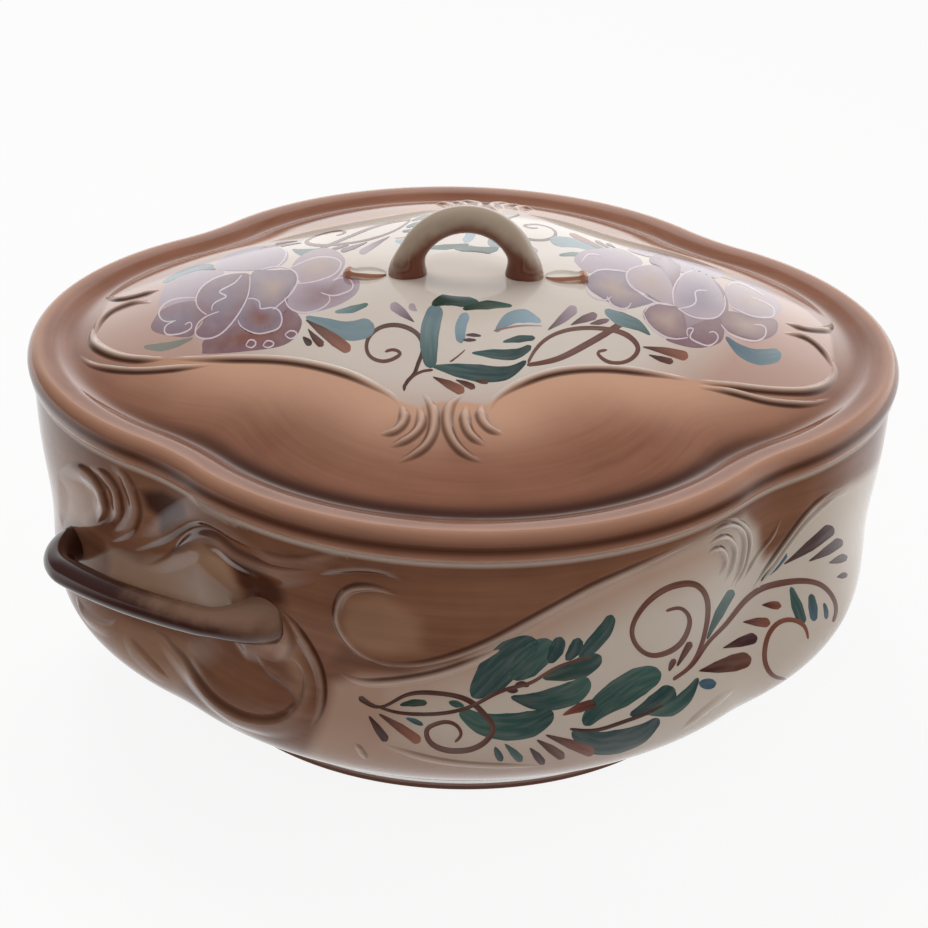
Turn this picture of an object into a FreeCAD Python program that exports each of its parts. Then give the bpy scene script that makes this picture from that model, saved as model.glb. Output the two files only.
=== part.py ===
"""Four-lobed lidded serving pot in glazed ceramic, in millimetres.

The pot stands on a round foot ring and swells into four lobes on the diagonals,
with a shallow waist between them on the X and Y axes. Two bar handles bridge the
waists on X. The lid has a rolled rim that follows the lobed outline, a groove, a
low dome, a locating flange inside the mouth, and a loop with a leaf at each foot.
The origin is at the centre of the foot, +Z is up.
"""
import FreeCAD
import Part
import math
import os
import Sketcher

SIZES = (
    ("foot_radius", 90.0, "outer radius of the round foot ring"),
    ("foot_width", 9.0, "radial width of the foot ring"),
    ("foot_height", 4.0, "height of the foot ring under the base"),
    ("wall", 6.0, "thickness of the pot wall at the rim"),
    ("floor_thick", 7.0, "thickness of the pot floor"),
    ("foot_flare", 3.3, "how far the wall stands out over the foot where it leaves it"),
    ("base_lobe", 4.0, "distance of the lobe centres from the axis there"),
    ("base_waist", 300.0, "radius of the waist arcs there"),
    ("low_height", 18.5, "height of the low belly section"),
    ("low_reach", 112.5, "lobe reach of the low belly section"),
    ("low_lobe", 18.5, "lobe centre distance of the low belly section"),
    ("low_waist", 168.0, "waist arc radius of the low belly section"),
    ("belly_height", 39.0, "height of the belly section"),
    ("belly_tuck", 2.6, "how far the belly section stays inside the side section"),
    ("belly_lobe", 23.0, "lobe centre distance of the belly section"),
    ("belly_waist", 112.0, "waist arc radius of the belly section"),
    ("side_height", 64.0, "height of the side section"),
    ("side_reach", 140.0, "lobe reach of the side section"),
    ("side_lobe", 35.8, "lobe centre distance of the side section"),
    ("side_waist", 108.0, "waist arc radius of the side section"),
    ("neck_drop", 24.0, "how far the section under the rim lies below it"),
    ("neck_flare", 2.9, "how far the section under the rim stands out over the side section"),
    ("neck_lobe", 36.5, "lobe centre distance of the section under the rim"),
    ("neck_waist", 102.0, "waist arc radius of the section under the rim"),
    ("rim_height", 114.0, "height of the flat pot rim that the lid rests on"),
    ("rim_flare", 4.5, "how far the pot rim stands out over the side section"),
    ("rim_lobe", 38.5, "lobe centre distance of the pot rim and the lid"),
    ("rim_waist", 99.0, "waist arc radius of the pot rim"),
    ("lid_overhang", 2.0, "how far the lid edge stands proud of the pot rim"),
    ("lid_clearance", 1.2, "gap between the lid flange and the mouth of the pot"),
    ("flange_thick", 5.0, "thickness of the locating flange"),
    ("flange_depth", 7.0, "how far the flange reaches into the mouth"),
    ("edge_height", 4.5, "height of the widest line of the lid edge above the rim"),
    ("seat_inset", 0.8, "inset of the seat's outer edge from the lid edge"),
    ("roll_radius", 6.0, "radius of the rolled rim"),
    ("groove_height", 7.5, "height of the groove above the pot rim"),
    ("groove_inset", 16.0, "inset of the groove from the lid edge"),
    ("band_width", 20.0, "width of the solid lid band from the lid edge inwards"),
    ("dome_spring", 6.0, "height above the rim where the dome leaves the band"),
    ("dome_inset", 12.0, "inset of the dome's first section from the lid edge"),
    ("lid_wall", 6.5, "upright thickness of the dome"),
    ("mouth_drop", 1.0, "how far below the dome's first section its hollow opens"),
    ("shoulder_height", 17.0, "height of the dome's shoulder above the rim"),
    ("shoulder_reach", 106.0, "lobe reach of the dome's shoulder"),
    ("shoulder_lobe", 30.0, "lobe centre distance of the dome's shoulder"),
    ("shoulder_waist", 130.0, "waist arc radius of the dome's shoulder"),
    ("crown_height", 26.5, "height of the dome's crown section above the rim"),
    ("crown_reach", 68.0, "lobe reach of the dome's crown section"),
    ("crown_lobe", 15.0, "lobe centre distance of the dome's crown section"),
    ("crown_waist", 160.0, "waist arc radius of the dome's crown section"),
    ("top_height", 32.0, "height of the nearly flat top of the dome above the rim"),
    ("top_reach", 20.0, "reach of the nearly flat top of the dome"),
    ("top_lobe", 2.0, "lobe centre distance of the top of the dome"),
    ("top_waist", 120.0, "waist arc radius of the top of the dome"),
    ("loop_radius", 19.5, "radius of the loop's centre line"),
    ("loop_bar_high", 9.2, "thickness of the loop's bar at the top"),
    ("loop_bar_wide", 9.8, "width of the loop's bar at the top, across the loop"),
    ("loop_foot_length", 13.0, "length of the loop's foot along the loop"),
    ("loop_foot_width", 12.0, "width of the loop's foot across the loop"),
    ("loop_root", 4.5, "how deep the loop's feet are let into the dome"),
    ("leaf_length", 15.0, "length of a leaf at the foot of the loop"),
    ("leaf_width", 10.0, "width of that leaf"),
    ("leaf_rise", 3.2, "height of the leaf above the top of the dome"),
    ("leaf_root", 5.0, "depth of the leaf below the top of the dome"),
    ("leaf_round", 1.4, "rounding of the leaf's upper edge"),
    ("leaf_gap", 0.3, "joint between the loop's foot and the leaf"),
    ("handle_height", 74.7, "height of the side handles' middle"),
    ("handle_tilt", 7.6, "slope of the bar in degrees, lower at its counter-clockwise end"),
    ("handle_shift", 5.8, "how far the bar sits clockwise of the waist's middle"),
    ("handle_stand", 4.6, "how far the bar's centre line stands out over the side section's lobes"),
    ("handle_bow", 210.0, "radius of the bar's gentle bow"),
    ("handle_span", 32.0, "half the length of the bowed stretch, along Y"),
    ("handle_bend", 22.0, "radius of the bend at each end of the bar"),
    ("handle_root", 10.0, "how deep the bar's ends are let into the wall"),
    ("handle_bar_high", 9.2, "height of the bar's oval section at the middle"),
    ("handle_bar_wide", 9.8, "width of the bar's oval section at the middle"),
    ("handle_end_high", 17.0, "height of the bar's flared ends"),
    ("handle_end_wide", 16.0, "width of the bar's flared ends"),
)

doc = FreeCAD.newDocument("serving_pot")
dims = doc.addObject("Spreadsheet::Sheet", "dims")
for row, (alias, value, note) in enumerate(SIZES, start=1):
    dims.set("A%d" % row, note)
    dims.set("B%d" % row, str(value))
    dims.setAlias("B%d" % row, alias)
doc.recompute()

HALF_DIAGONAL = "%.9f" % math.sqrt(0.5)
RIM_REACH = "(dims.side_reach + dims.rim_flare)"
HANDLE_REACH = "(dims.side_reach + dims.handle_stand)"


def number(expression):
    """Value of an expression over the sheet's cells."""
    return float(dims.evalExpression(expression))


def new_body(name):
    """Empty body with its own name."""
    body = doc.addObject("PartDesign::Body", name)
    body.Label = name
    return body


def origin_plane(body, role):
    """One of the body's own origin planes."""
    return [feature for feature in body.Origin.OriginFeatures if feature.Role == role][0]


def new_sketch(body, name, plane, offset="0"):
    """Sketch on one of the body's origin planes, moved along the plane's normal."""
    sketch = body.newObject("Sketcher::SketchObject", name)
    sketch.AttachmentSupport = [(origin_plane(body, plane), "")]
    sketch.MapMode = "FlatFace"
    sketch.setExpression("AttachmentOffset.Base.z", offset)
    return sketch


def bind(sketch, kind, *geometry, size):
    """Dimension of a sketch that follows an expression over the sheet's cells."""
    index = sketch.addConstraint(Sketcher.Constraint(kind, *geometry, number(size)))
    sketch.setExpression("Constraints[%d]" % index, size)


def arc(centre, radius, start, end):
    """Arc of a circle in a sketch plane, counter-clockwise between two angles in degrees."""
    circle = Part.Circle(FreeCAD.Vector(*centre, 0), FreeCAD.Vector(0, 0, 1), radius)
    return Part.ArcOfCircle(circle, math.radians(start), math.radians(end))


def lobed_outline(body, name, height, reach, lobe, waist):
    """Closed outline of four lobes on the diagonals and four concave waists on the axes.

    The lobes are arcs about centres at the distance lobe from the axis, and the waists
    are arcs of radius waist, each tangent to the two lobes beside it.
    """
    sketch = new_sketch(body, name, "XY_Plane", height)
    offset = number("(%s) * %s" % (lobe, HALF_DIAGONAL))
    lobe_radius = number("(%s) - (%s)" % (reach, lobe))
    waist_radius = number(waist)
    waist_centre = offset + math.sqrt((lobe_radius + waist_radius) ** 2 - offset ** 2)
    lean = math.degrees(math.atan2(offset, waist_centre - offset))
    quarters = range(4)
    for quarter in quarters:
        turn = 90 * quarter
        corner = math.radians(turn + 45)
        centre = [offset * math.sqrt(2) * f(corner) for f in (math.cos, math.sin)]
        sketch.addGeometry(arc(centre, lobe_radius, turn - lean, turn + 90 + lean))
    for quarter in quarters:
        turn = 90 * quarter
        axis = math.radians(turn)
        centre = [waist_centre * f(axis) for f in (math.cos, math.sin)]
        sketch.addGeometry(arc(centre, waist_radius, turn + 180 - lean, turn + 180 + lean))
    for quarter in quarters:
        following = 4 + (quarter + 1) % 4
        sketch.addConstraint(Sketcher.Constraint("Tangent", quarter, 1, 4 + quarter, 1))
        sketch.addConstraint(Sketcher.Constraint("Tangent", quarter, 2, following, 2))
    for quarter in (1, 2, 3):
        sketch.addConstraint(Sketcher.Constraint("Equal", 0, quarter))
        sketch.addConstraint(Sketcher.Constraint("Equal", 4, 4 + quarter))
    sketch.addConstraint(Sketcher.Constraint("Symmetric", 0, 3, 1, 3, -2))
    sketch.addConstraint(Sketcher.Constraint("Symmetric", 0, 3, 3, 3, -1))
    sketch.addConstraint(Sketcher.Constraint("Symmetric", 0, 3, 2, 3, -1, 1))
    bind(sketch, "DistanceX", -1, 1, 0, 3, size="(%s) * %s" % (lobe, HALF_DIAGONAL))
    bind(sketch, "DistanceY", -1, 1, 0, 3, size="(%s) * %s" % (lobe, HALF_DIAGONAL))
    bind(sketch, "Radius", 0, size="(%s) - (%s)" % (reach, lobe))
    bind(sketch, "Radius", 4, size=waist)
    return sketch


def loft(body, kind, name, outlines):
    """Smooth loft through the outlines, added to or taken from the body."""
    feature = body.newObject(kind, name)
    feature.Profile = outlines[0]
    feature.Sections = outlines[1:]
    return feature


def oval(sketch, centre_across, centre_up, across, up):
    """Oval in a sketch: centre and full axes given as expressions over the cells."""
    centre = FreeCAD.Vector(number(centre_across), number(centre_up), 0)
    along = FreeCAD.Vector(number(across) / 2, 0, 0)
    upright = FreeCAD.Vector(0, number(up) / 2, 0)
    place_centre = (0, 3, centre_across, centre_up)
    if math.isclose(along.Length, upright.Length):
        sketch.addGeometry(Part.Circle(centre, FreeCAD.Vector(0, 0, 1), along.Length))
        bind(sketch, "Diameter", 0, size=across)
        place(sketch, *place_centre)
        return sketch
    wide = along.Length > upright.Length
    major, minor = (along, upright) if wide else (upright, -along)
    sketch.addGeometry(Part.Ellipse(centre + major, centre + minor, centre))
    sketch.exposeInternalGeometry(0)
    sketch.addConstraint(Sketcher.Constraint("Horizontal" if wide else "Vertical", 1))
    bind(sketch, "Distance", 1, size=across if wide else up)
    bind(sketch, "Distance", 2, size=up if wide else across)
    place(sketch, *place_centre)
    return sketch


def place(sketch, geometry, point, across, up):
    """Fix a point of a sketch by its two distances from the origin, each along its own way."""
    for kind, size in (("DistanceX", across), ("DistanceY", up)):
        if number(size) == 0:
            axis = -2 if kind == "DistanceX" else -1
            sketch.addConstraint(Sketcher.Constraint("PointOnObject", geometry, point, axis))
        else:
            bind(sketch, kind, -1, 1, geometry, point, size=size)


def join(sketch, *ends):
    """Make each pair of ends, given as (geometry, point, geometry, point), one point."""
    for pair in ends:
        sketch.addConstraint(Sketcher.Constraint("Coincident", *pair))


def line(start, end):
    """Straight line of a sketch between two points."""
    return Part.LineSegment(FreeCAD.Vector(*start, 0), FreeCAD.Vector(*end, 0))


def bar(body, name, spine, middle, end, mirror):
    """Bar along half a spine from its middle section to its flared end, and its mirror half."""
    half = body.newObject("PartDesign::AdditivePipe", name + "_half")
    half.Profile = middle
    half.Spine = spine
    half.Transformation = "Multisection"
    half.Sections = [end]
    doc.recompute()
    whole = body.newObject("PartDesign::Mirrored", name + "_whole")
    whole.Originals = [half]
    whole.MirrorPlane = (origin_plane(body, mirror), [""])
    body.Tip = whole
    doc.recompute()


def make_pot():
    """Pot: lobed bowl on a round foot ring, hollowed with the same sections.

    Gives the pot, and the bowl before it was hollowed, which the handles are fitted to.
    """
    body = new_body("pot_body")
    # Each section: name, lobe reach, height, lift of the hollow's section, its share of the wall.
    sections = (
        ("base", "dims.foot_radius + dims.foot_flare", "dims.foot_height", "dims.floor_thick", "0.3"),
        ("low", "dims.low_reach", "dims.low_height", "dims.wall * 0.75", "0.65"),
        ("belly", "dims.side_reach - dims.belly_tuck", "dims.belly_height", "dims.wall * 0.4", "0.9"),
        ("side", "dims.side_reach", "dims.side_height", "0", "1"),
        ("neck", "dims.side_reach + dims.neck_flare", "dims.rim_height - dims.neck_drop", "0", "1"),
        ("rim", RIM_REACH, "dims.rim_height", "0", "1"),
    )
    outside = []
    inside = []
    for name, reach, height, lift, share in sections:
        lobe, waist = ["dims.%s_%s" % (name, size) for size in ("lobe", "waist")]
        outside.append(lobed_outline(body, name + "_outside", height, reach, lobe, waist))
        inset = "dims.wall * " + share
        inside.append((name + "_inside", height + " + " + lift, reach + " - " + inset, lobe,
                       waist + " + " + inset))
    loft(body, "PartDesign::AdditiveLoft", "bowl", outside)
    ring = new_sketch(body, "foot_outline", "XY_Plane")
    for radius in ("dims.foot_radius", "dims.foot_radius - dims.foot_width"):
        edge = ring.addGeometry(Part.Circle(FreeCAD.Vector(), FreeCAD.Vector(0, 0, 1), number(radius)))
        ring.addConstraint(Sketcher.Constraint("Coincident", edge, 3, -1, 1))
        bind(ring, "Radius", edge, size=radius)
    foot = body.newObject("PartDesign::Pad", "foot_ring")
    foot.Profile = ring
    foot.setExpression("Length", "dims.foot_height")
    loft(body, "PartDesign::SubtractiveLoft", "cavity", [lobed_outline(body, *one) for one in inside])
    doc.recompute()
    return body, foot


WAIST_OF_LID = (
    "(dims.rim_lobe * {k} + sqrt(({reach} - dims.rim_lobe + dims.rim_waist) ^ 2"
    " - (dims.rim_lobe * {k}) ^ 2) - dims.rim_waist + dims.lid_overhang)"
).format(k=HALF_DIAGONAL, reach=RIM_REACH)


def make_lid():
    """Lid: rolled band swept along the lobed outline, a lofted dome and its hollow.

    Gives the lid, and the lid before it was hollowed, which the loop and leaves are fitted to.
    """
    body = new_body("lid_shell")
    edge_reach = RIM_REACH + " + dims.lid_overhang"
    edge_waist = "dims.rim_waist - dims.lid_overhang"
    upper = [["dims.%s_%s" % (name, size) for size in ("height", "reach", "lobe", "waist")]
             for name in ("shoulder", "crown", "top")]
    spring = ["dims.dome_spring", edge_reach + " - dims.dome_inset", "dims.rim_lobe",
              edge_waist + " + dims.dome_inset"]
    mouth = ["dims.dome_spring + dims.lid_wall - dims.mouth_drop", edge_reach + " - dims.band_width",
             "dims.rim_lobe", edge_waist + " + dims.band_width"]
    outside = [lobed_outline(body, "dome_%d" % n, "dims.rim_height + " + height, *plan)
               for n, (height, *plan) in enumerate([spring] + upper)]
    loft(body, "PartDesign::AdditiveLoft", "dome", outside)
    spine = lobed_outline(body, "lid_edge", "dims.rim_height", edge_reach, "dims.rim_lobe", edge_waist)
    section = band_section(body)
    doc.recompute()
    band = body.newObject("PartDesign::AdditivePipe", "rolled_band")
    band.Profile = section
    band.Spine = spine
    doc.recompute()
    inside = [lobed_outline(body, "hollow_%d" % n, "dims.rim_height - dims.lid_wall + " + height, *plan)
              for n, (height, *plan) in enumerate([mouth] + upper)]
    loft(body, "PartDesign::SubtractiveLoft", "hollow", inside)
    doc.recompute()
    return body, band


def band_section(body):
    """Section of the lid band on the X axis: rolled edge, groove, and flange below the seat.

    The roll is an arc about a centre level with the widest line of the edge. The groove is a
    hollow arc tangent to the roll, with its lowest line at the groove's own inset and height.
    """
    sketch = new_sketch(body, "band_section", "XZ_Plane")
    flange_inset = "dims.lid_overhang + dims.wall + dims.lid_clearance"
    inset = {
        "seat": "dims.seat_inset",
        "roll": "dims.roll_radius",
        "groove": "dims.groove_inset",
        "band": "dims.band_width",
        "inner": flange_inset + " + dims.flange_thick",
        "outer": flange_inset,
    }
    across = {name: "%s - (%s)" % (WAIST_OF_LID, size) for name, size in inset.items()}
    groove_radius = (
        "((dims.groove_inset - dims.roll_radius) ^ 2 + (dims.groove_height - dims.edge_height) ^ 2"
        " - dims.roll_radius ^ 2) / (2 * (dims.roll_radius - dims.groove_height + dims.edge_height))"
    )
    seat = "dims.rim_height"
    roll_up = seat + " + dims.edge_height"
    foot = seat + " - dims.flange_depth"
    roll_centre = (number(across["roll"]), number(roll_up))
    groove_centre = (number(across["groove"]), number(seat + " + dims.groove_height + " + groove_radius))
    radius = number("dims.roll_radius")
    hollow = number(groove_radius)
    rise = math.degrees(math.atan2(groove_centre[1] - roll_centre[1], groove_centre[0] - roll_centre[0]))
    inward = number("dims.band_width - dims.groove_inset") / hollow
    tail = 270 - math.degrees(math.asin(inward))
    groove = arc(groove_centre, hollow, tail, rise + 180)
    edge = (roll_centre[0] + radius, roll_centre[1])
    corners = [(number(across[name]), number(up)) for name, up in
               (("inner", foot), ("outer", foot), ("outer", seat), ("seat", seat))]
    sketch.addGeometry(arc(roll_centre, radius, 0, rise))
    sketch.addGeometry(groove)
    inner_end = (groove.StartPoint.x, groove.StartPoint.y)
    for start, end in zip([inner_end] + corners, corners + [edge]):
        sketch.addGeometry(line(start, end))
    sketch.addConstraint(Sketcher.Constraint("Tangent", 0, 2, 1, 2))
    join(sketch, (1, 1, 2, 1), (2, 2, 3, 1), (3, 2, 4, 1), (4, 2, 5, 1), (5, 2, 6, 1), (6, 2, 0, 1))
    sketch.addConstraint(Sketcher.Constraint("Horizontal", 0, 3, 0, 1))
    bind(sketch, "Radius", 0, size="dims.roll_radius")
    place(sketch, 0, 3, across["roll"], roll_up)
    bind(sketch, "Radius", 1, size=groove_radius)
    bind(sketch, "DistanceX", -1, 1, 1, 3, size=across["groove"])
    bind(sketch, "DistanceX", -1, 1, 1, 1, size=across["band"])
    for geometry, (name, up) in zip((3, 4, 5, 6), (("inner", foot), ("outer", foot),
                                                   ("outer", seat), ("seat", seat))):
        place(sketch, geometry, 1, across[name], up)
    return sketch


def make_handle_form():
    """Bar of a side handle at +X: bowed stretch, bend and root, with flared oval ends."""
    body = new_body("handle_form")
    end_along = ("((dims.handle_bow - dims.handle_bend) * dims.handle_span / dims.handle_bow"
                 " + dims.handle_bend)")
    lobe = "dims.side_lobe * " + HALF_DIAGONAL
    end_across = "%s + sqrt((dims.side_reach - dims.side_lobe) ^ 2 - (%s - %s) ^ 2) - dims.handle_root" % (
        lobe, end_along, lobe)
    bow_centre = HANDLE_REACH + " - dims.handle_bow"
    spine = new_sketch(body, "handle_spine", "XY_Plane")
    turn = math.degrees(math.asin(number("dims.handle_span / dims.handle_bow")))
    bow = arc((number(bow_centre), 0), number("dims.handle_bow"), 0, turn)
    bend = number("dims.handle_bend")
    inner = number("dims.handle_bow") - bend
    bend_centre = (number(bow_centre) + inner * math.cos(math.radians(turn)),
                   inner * math.sin(math.radians(turn)))
    spine.addGeometry(bow)
    spine.addGeometry(arc(bend_centre, bend, turn, 90))
    bend_end = (bend_centre[0], bend_centre[1] + bend)
    spine.addGeometry(line(bend_end, (number(end_across), bend_end[1])))
    spine.addConstraint(Sketcher.Constraint("Tangent", 0, 2, 1, 1))
    spine.addConstraint(Sketcher.Constraint("Tangent", 1, 2, 2, 1))
    spine.addConstraint(Sketcher.Constraint("Horizontal", 2))
    place(spine, 0, 3, bow_centre, "0")
    spine.addConstraint(Sketcher.Constraint("PointOnObject", 0, 1, -1))
    bind(spine, "Radius", 0, size="dims.handle_bow")
    bind(spine, "DistanceY", -1, 1, 0, 2, size="dims.handle_span")
    bind(spine, "Radius", 1, size="dims.handle_bend")
    bind(spine, "DistanceX", -1, 1, 2, 2, size=end_across)
    middle = oval(new_sketch(body, "handle_middle", "XZ_Plane"), HANDLE_REACH, "0",
                  "dims.handle_bar_wide", "dims.handle_bar_high")
    end = oval(new_sketch(body, "handle_end", "YZ_Plane", end_across), end_along, "0",
               "dims.handle_end_wide", "dims.handle_end_high")
    doc.recompute()
    bar(body, "handle", spine, middle, end, "XZ_Plane")
    return body


def make_loop_form():
    """Loop of the lid along X: half-round arch on two short legs, with flared feet."""
    body = new_body("loop_form")
    spring = "dims.rim_height + dims.top_height"
    foot = spring + " - dims.loop_root"
    radius = number("dims.loop_radius")
    spine = new_sketch(body, "loop_spine", "XZ_Plane")
    spine.addGeometry(arc((0, number(spring)), radius, 0, 90))
    spine.addGeometry(line((radius, number(spring)), (radius, number(foot))))
    spine.addConstraint(Sketcher.Constraint("Tangent", 0, 1, 1, 1))
    spine.addConstraint(Sketcher.Constraint("Vertical", 1))
    spine.addConstraint(Sketcher.Constraint("PointOnObject", 0, 2, -2))
    place(spine, 0, 3, "0", spring)
    bind(spine, "Radius", 0, size="dims.loop_radius")
    bind(spine, "DistanceY", -1, 1, 1, 2, size=foot)
    middle = oval(new_sketch(body, "loop_middle", "YZ_Plane"), "0", spring + " + dims.loop_radius",
                  "dims.loop_bar_wide", "dims.loop_bar_high")
    end = oval(new_sketch(body, "loop_foot", "XY_Plane", foot), "dims.loop_radius", "0",
               "dims.loop_foot_length", "dims.loop_foot_width")
    doc.recompute()
    bar(body, "loop", spine, middle, end, "YZ_Plane")
    return body


def make_leaf_form():
    """Leaf at the foot of the loop, along +X: a pointed oval of two arcs with a rounded upper edge."""
    body = new_body("leaf_form")
    stem = "dims.loop_radius + dims.loop_foot_length / 2 + dims.leaf_gap"
    tip = stem + " + dims.leaf_length"
    bulge = "(dims.leaf_length ^ 2 + dims.leaf_width ^ 2) / (4 * dims.leaf_width)"
    root = "dims.rim_height + dims.top_height - dims.leaf_root"
    sketch = new_sketch(body, "leaf_outline", "XY_Plane", root)
    radius = number(bulge)
    middle = number(stem + " + dims.leaf_length / 2")
    sink = radius - number("dims.leaf_width / 2")
    half = math.degrees(math.asin(number("dims.leaf_length / 2") / radius))
    sketch.addGeometry(arc((middle, -sink), radius, 90 - half, 90 + half))
    sketch.addGeometry(arc((middle, sink), radius, 270 - half, 270 + half))
    join(sketch, (0, 1, 1, 2), (0, 2, 1, 1))
    place(sketch, 0, 1, tip, "0")
    place(sketch, 0, 2, stem, "0")
    bind(sketch, "Radius", 0, size=bulge)
    bind(sketch, "Radius", 1, size=bulge)
    pad = body.newObject("PartDesign::Pad", "leaf_pad")
    pad.Profile = sketch
    pad.setExpression("Length", "dims.leaf_root + dims.leaf_rise")
    doc.recompute()
    top = number("dims.rim_height + dims.top_height + dims.leaf_rise")
    rounded = ["Edge%d" % n for n, edge in enumerate(pad.Shape.Edges, start=1)
               if abs(edge.BoundBox.ZMin - top) < 0.001]
    fillet = body.newObject("PartDesign::Fillet", "leaf_edge")
    fillet.Base = (pad, rounded)
    fillet.setExpression("Radius", "dims.leaf_round")
    doc.recompute()
    return body


def turned(angle, axis=(0, 0, 1)):
    """Placement that turns a piece about an axis through the origin, in degrees."""
    return FreeCAD.Placement(FreeCAD.Vector(), FreeCAD.Rotation(FreeCAD.Vector(*axis), angle))


def luted(name, form, placement, carrier):
    """Copy of a form, placed and cut to sit face to face on what carries it."""
    copy = doc.addObject("Part::Feature", name + "_form")
    copy.Shape = form.Shape
    copy.Placement = placement
    cut = doc.addObject("Part::Cut", name)
    cut.Base = copy
    cut.Tool = carrier
    cut.Label = name
    return cut


pot, bowl = make_pot()
lid, cap = make_lid()
handle = make_handle_form()
loop = make_loop_form()
leaf = make_leaf_form()
doc.recompute()
bridge = FreeCAD.Placement(
    FreeCAD.Vector(0, -number("dims.handle_shift"), number("dims.handle_height")),
    FreeCAD.Rotation(FreeCAD.Vector(1, 0, 0), number("dims.handle_tilt")),
)
sub_parts = [
    pot,
    lid,
    luted("side_handle_right", handle, bridge, bowl),
    luted("side_handle_left", handle, turned(180) * bridge, bowl),
    luted("lid_loop", loop, turned(-45), cap),
    luted("lid_leaf_right", leaf, turned(-45), cap),
    luted("lid_leaf_left", leaf, turned(135), cap),
]
doc.recompute()

for thing in doc.Objects:
    if set(thing.State) & {"Invalid", "Error"}:
        raise RuntimeError("%s did not compute: %s" % (thing.Label, thing.State))
for part in sub_parts:
    if part.Shape.isNull() or not part.Shape.isValid():
        raise RuntimeError("%s has no valid shape" % part.Label)

os.makedirs("parts", exist_ok=True)
for part in sub_parts:
    part.Shape.exportStep("parts/%s.step" % part.Label)
    box = part.Shape.optimalBoundingBox()
    print("%-18s %d solid, %8.1f mm3, x %.1f to %.1f, y %.1f to %.1f, z %.1f to %.1f" % (
        part.Label, len(part.Shape.Solids), part.Shape.Volume,
        box.XMin, box.XMax, box.YMin, box.YMax, box.ZMin, box.ZMax))
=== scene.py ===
"""A four-lobed lidded serving pot in brown and cream glaze, with raised scrolls and painted flowers.

Lengths are in millimetres until a mesh is made. The pot and the lid are grids of points, with
columns round the object and rows along the profile. Scrolls and brush strokes are drawn as curves
in the picture that the camera sees, and are carried along the camera's rays onto those grids.
"""

import bpy
import numpy as np
from mathutils import Matrix


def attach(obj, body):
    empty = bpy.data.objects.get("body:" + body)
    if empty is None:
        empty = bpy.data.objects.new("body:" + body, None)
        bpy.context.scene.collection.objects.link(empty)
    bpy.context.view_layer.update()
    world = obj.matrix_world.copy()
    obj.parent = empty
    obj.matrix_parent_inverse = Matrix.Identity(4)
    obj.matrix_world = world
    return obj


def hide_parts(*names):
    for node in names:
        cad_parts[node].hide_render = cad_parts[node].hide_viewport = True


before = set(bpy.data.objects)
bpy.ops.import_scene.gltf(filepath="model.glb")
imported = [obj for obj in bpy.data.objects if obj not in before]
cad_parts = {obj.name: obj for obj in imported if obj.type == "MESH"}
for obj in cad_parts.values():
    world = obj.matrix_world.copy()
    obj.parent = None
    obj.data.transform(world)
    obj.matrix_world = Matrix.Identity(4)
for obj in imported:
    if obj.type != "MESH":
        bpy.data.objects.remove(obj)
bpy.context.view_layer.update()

MM = 0.001

# Camera: angles in degrees, distances in millimetres, picture sizes in pixels.
AZIMUTH, ELEVATION, ROLL = -46.4, 26.05, 1.5
DISTANCE, AIM_SIDE, AIM_HEIGHT = 966.0, 1.0, 75.3
PICTURE, FOCAL, SENSOR = 928, 2800.0, 36.0

# Pot wall: height, reach of the lobes, distance of the lobe centres, radius of the waist arcs.
POT_SECTIONS = (
    (4, 93.3, 4.0, 300.0),
    (18.5, 112.5, 18.5, 168.0),
    (39, 137.4, 23.0, 112.0),
    (64, 140.0, 35.8, 108.0),
    (90, 142.9, 36.5, 102.0),
    (114, 144.5, 38.5, 99.0),
)
# Hollow of the pot, in the same order.
HOLLOW_SECTIONS = (
    (11, 91.5, 4.0, 301.8),
    (23, 108.6, 18.5, 171.9),
    (41.4, 132.0, 23.0, 117.4),
    (64, 134.0, 35.8, 114.0),
    (90, 136.9, 36.5, 108.0),
    (114, 138.5, 38.5, 105.0),
)
RIM = 114.0
WALL = 6.0
LIP_ROUND = 1.0
FOOT_RADIUS, FOOT_WIDTH, FOOT_HEIGHT, FOOT_ROUND = 90.0, 9.0, 4.0, 0.8
# Height up to which the foot is bare of glaze, and share of cream in the hollows.
BARE_HEIGHT, HOLLOW_CREAM = 8.3, 0.9

# Lid edge: reach, lobe centres, waist radius; the rolled rim and the groove by inset and height.
EDGE = (146.45, 38.5, 97.0)
ROLL_RADIUS, EDGE_HEIGHT, SEAT_INSET = 6.0, 4.5, 0.8
GROOVE_INSET, GROOVE_HEIGHT, GROOVE_EASE = 16.0, 7.5, 3.0
FLANGE_OUTER, FLANGE_INNER, FLANGE_DEPTH = 9.2, 14.2, 7.0
LID_WALL, MOUTH_INSET, MOUTH_HEIGHT = 6.5, 20.0, 5.0
# Dome: height above the rim, reach, lobe centres, waist radius.
DOME_SECTIONS = (
    (6, 134.5, 38.5, 109.0),
    (17, 106.0, 30.0, 130.0),
    (26.5, 68.0, 15.0, 160.0),
    (32, 20.0, 2.0, 120.0),
)

# Points of the grids: round the pot and along its wall, round the lid and along its top, round a bar.
POT_COLUMNS, WALL_ROWS = 720, 104
LID_COLUMNS, TOP_ROWS = 600, 138
BAR_COLUMNS = 32


def picture_axes():
    """Right, up and back of the camera and its place, from its two angles, roll, aim and distance."""
    turn, tilt, roll = np.radians((AZIMUTH, ELEVATION, ROLL))
    back = np.array((np.sin(turn) * np.cos(tilt), -np.cos(turn) * np.cos(tilt), np.sin(tilt)))
    level = np.array((np.cos(turn), np.sin(turn), 0.0))
    upright = np.cross(back, level)
    right = level * np.cos(roll) + upright * np.sin(roll)
    up = upright * np.cos(roll) - level * np.sin(roll)
    return right, up, back, level * AIM_SIDE + (0, 0, AIM_HEIGHT) + back * DISTANCE


RIGHT, UP, BACK, EYE = picture_axes()


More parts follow.
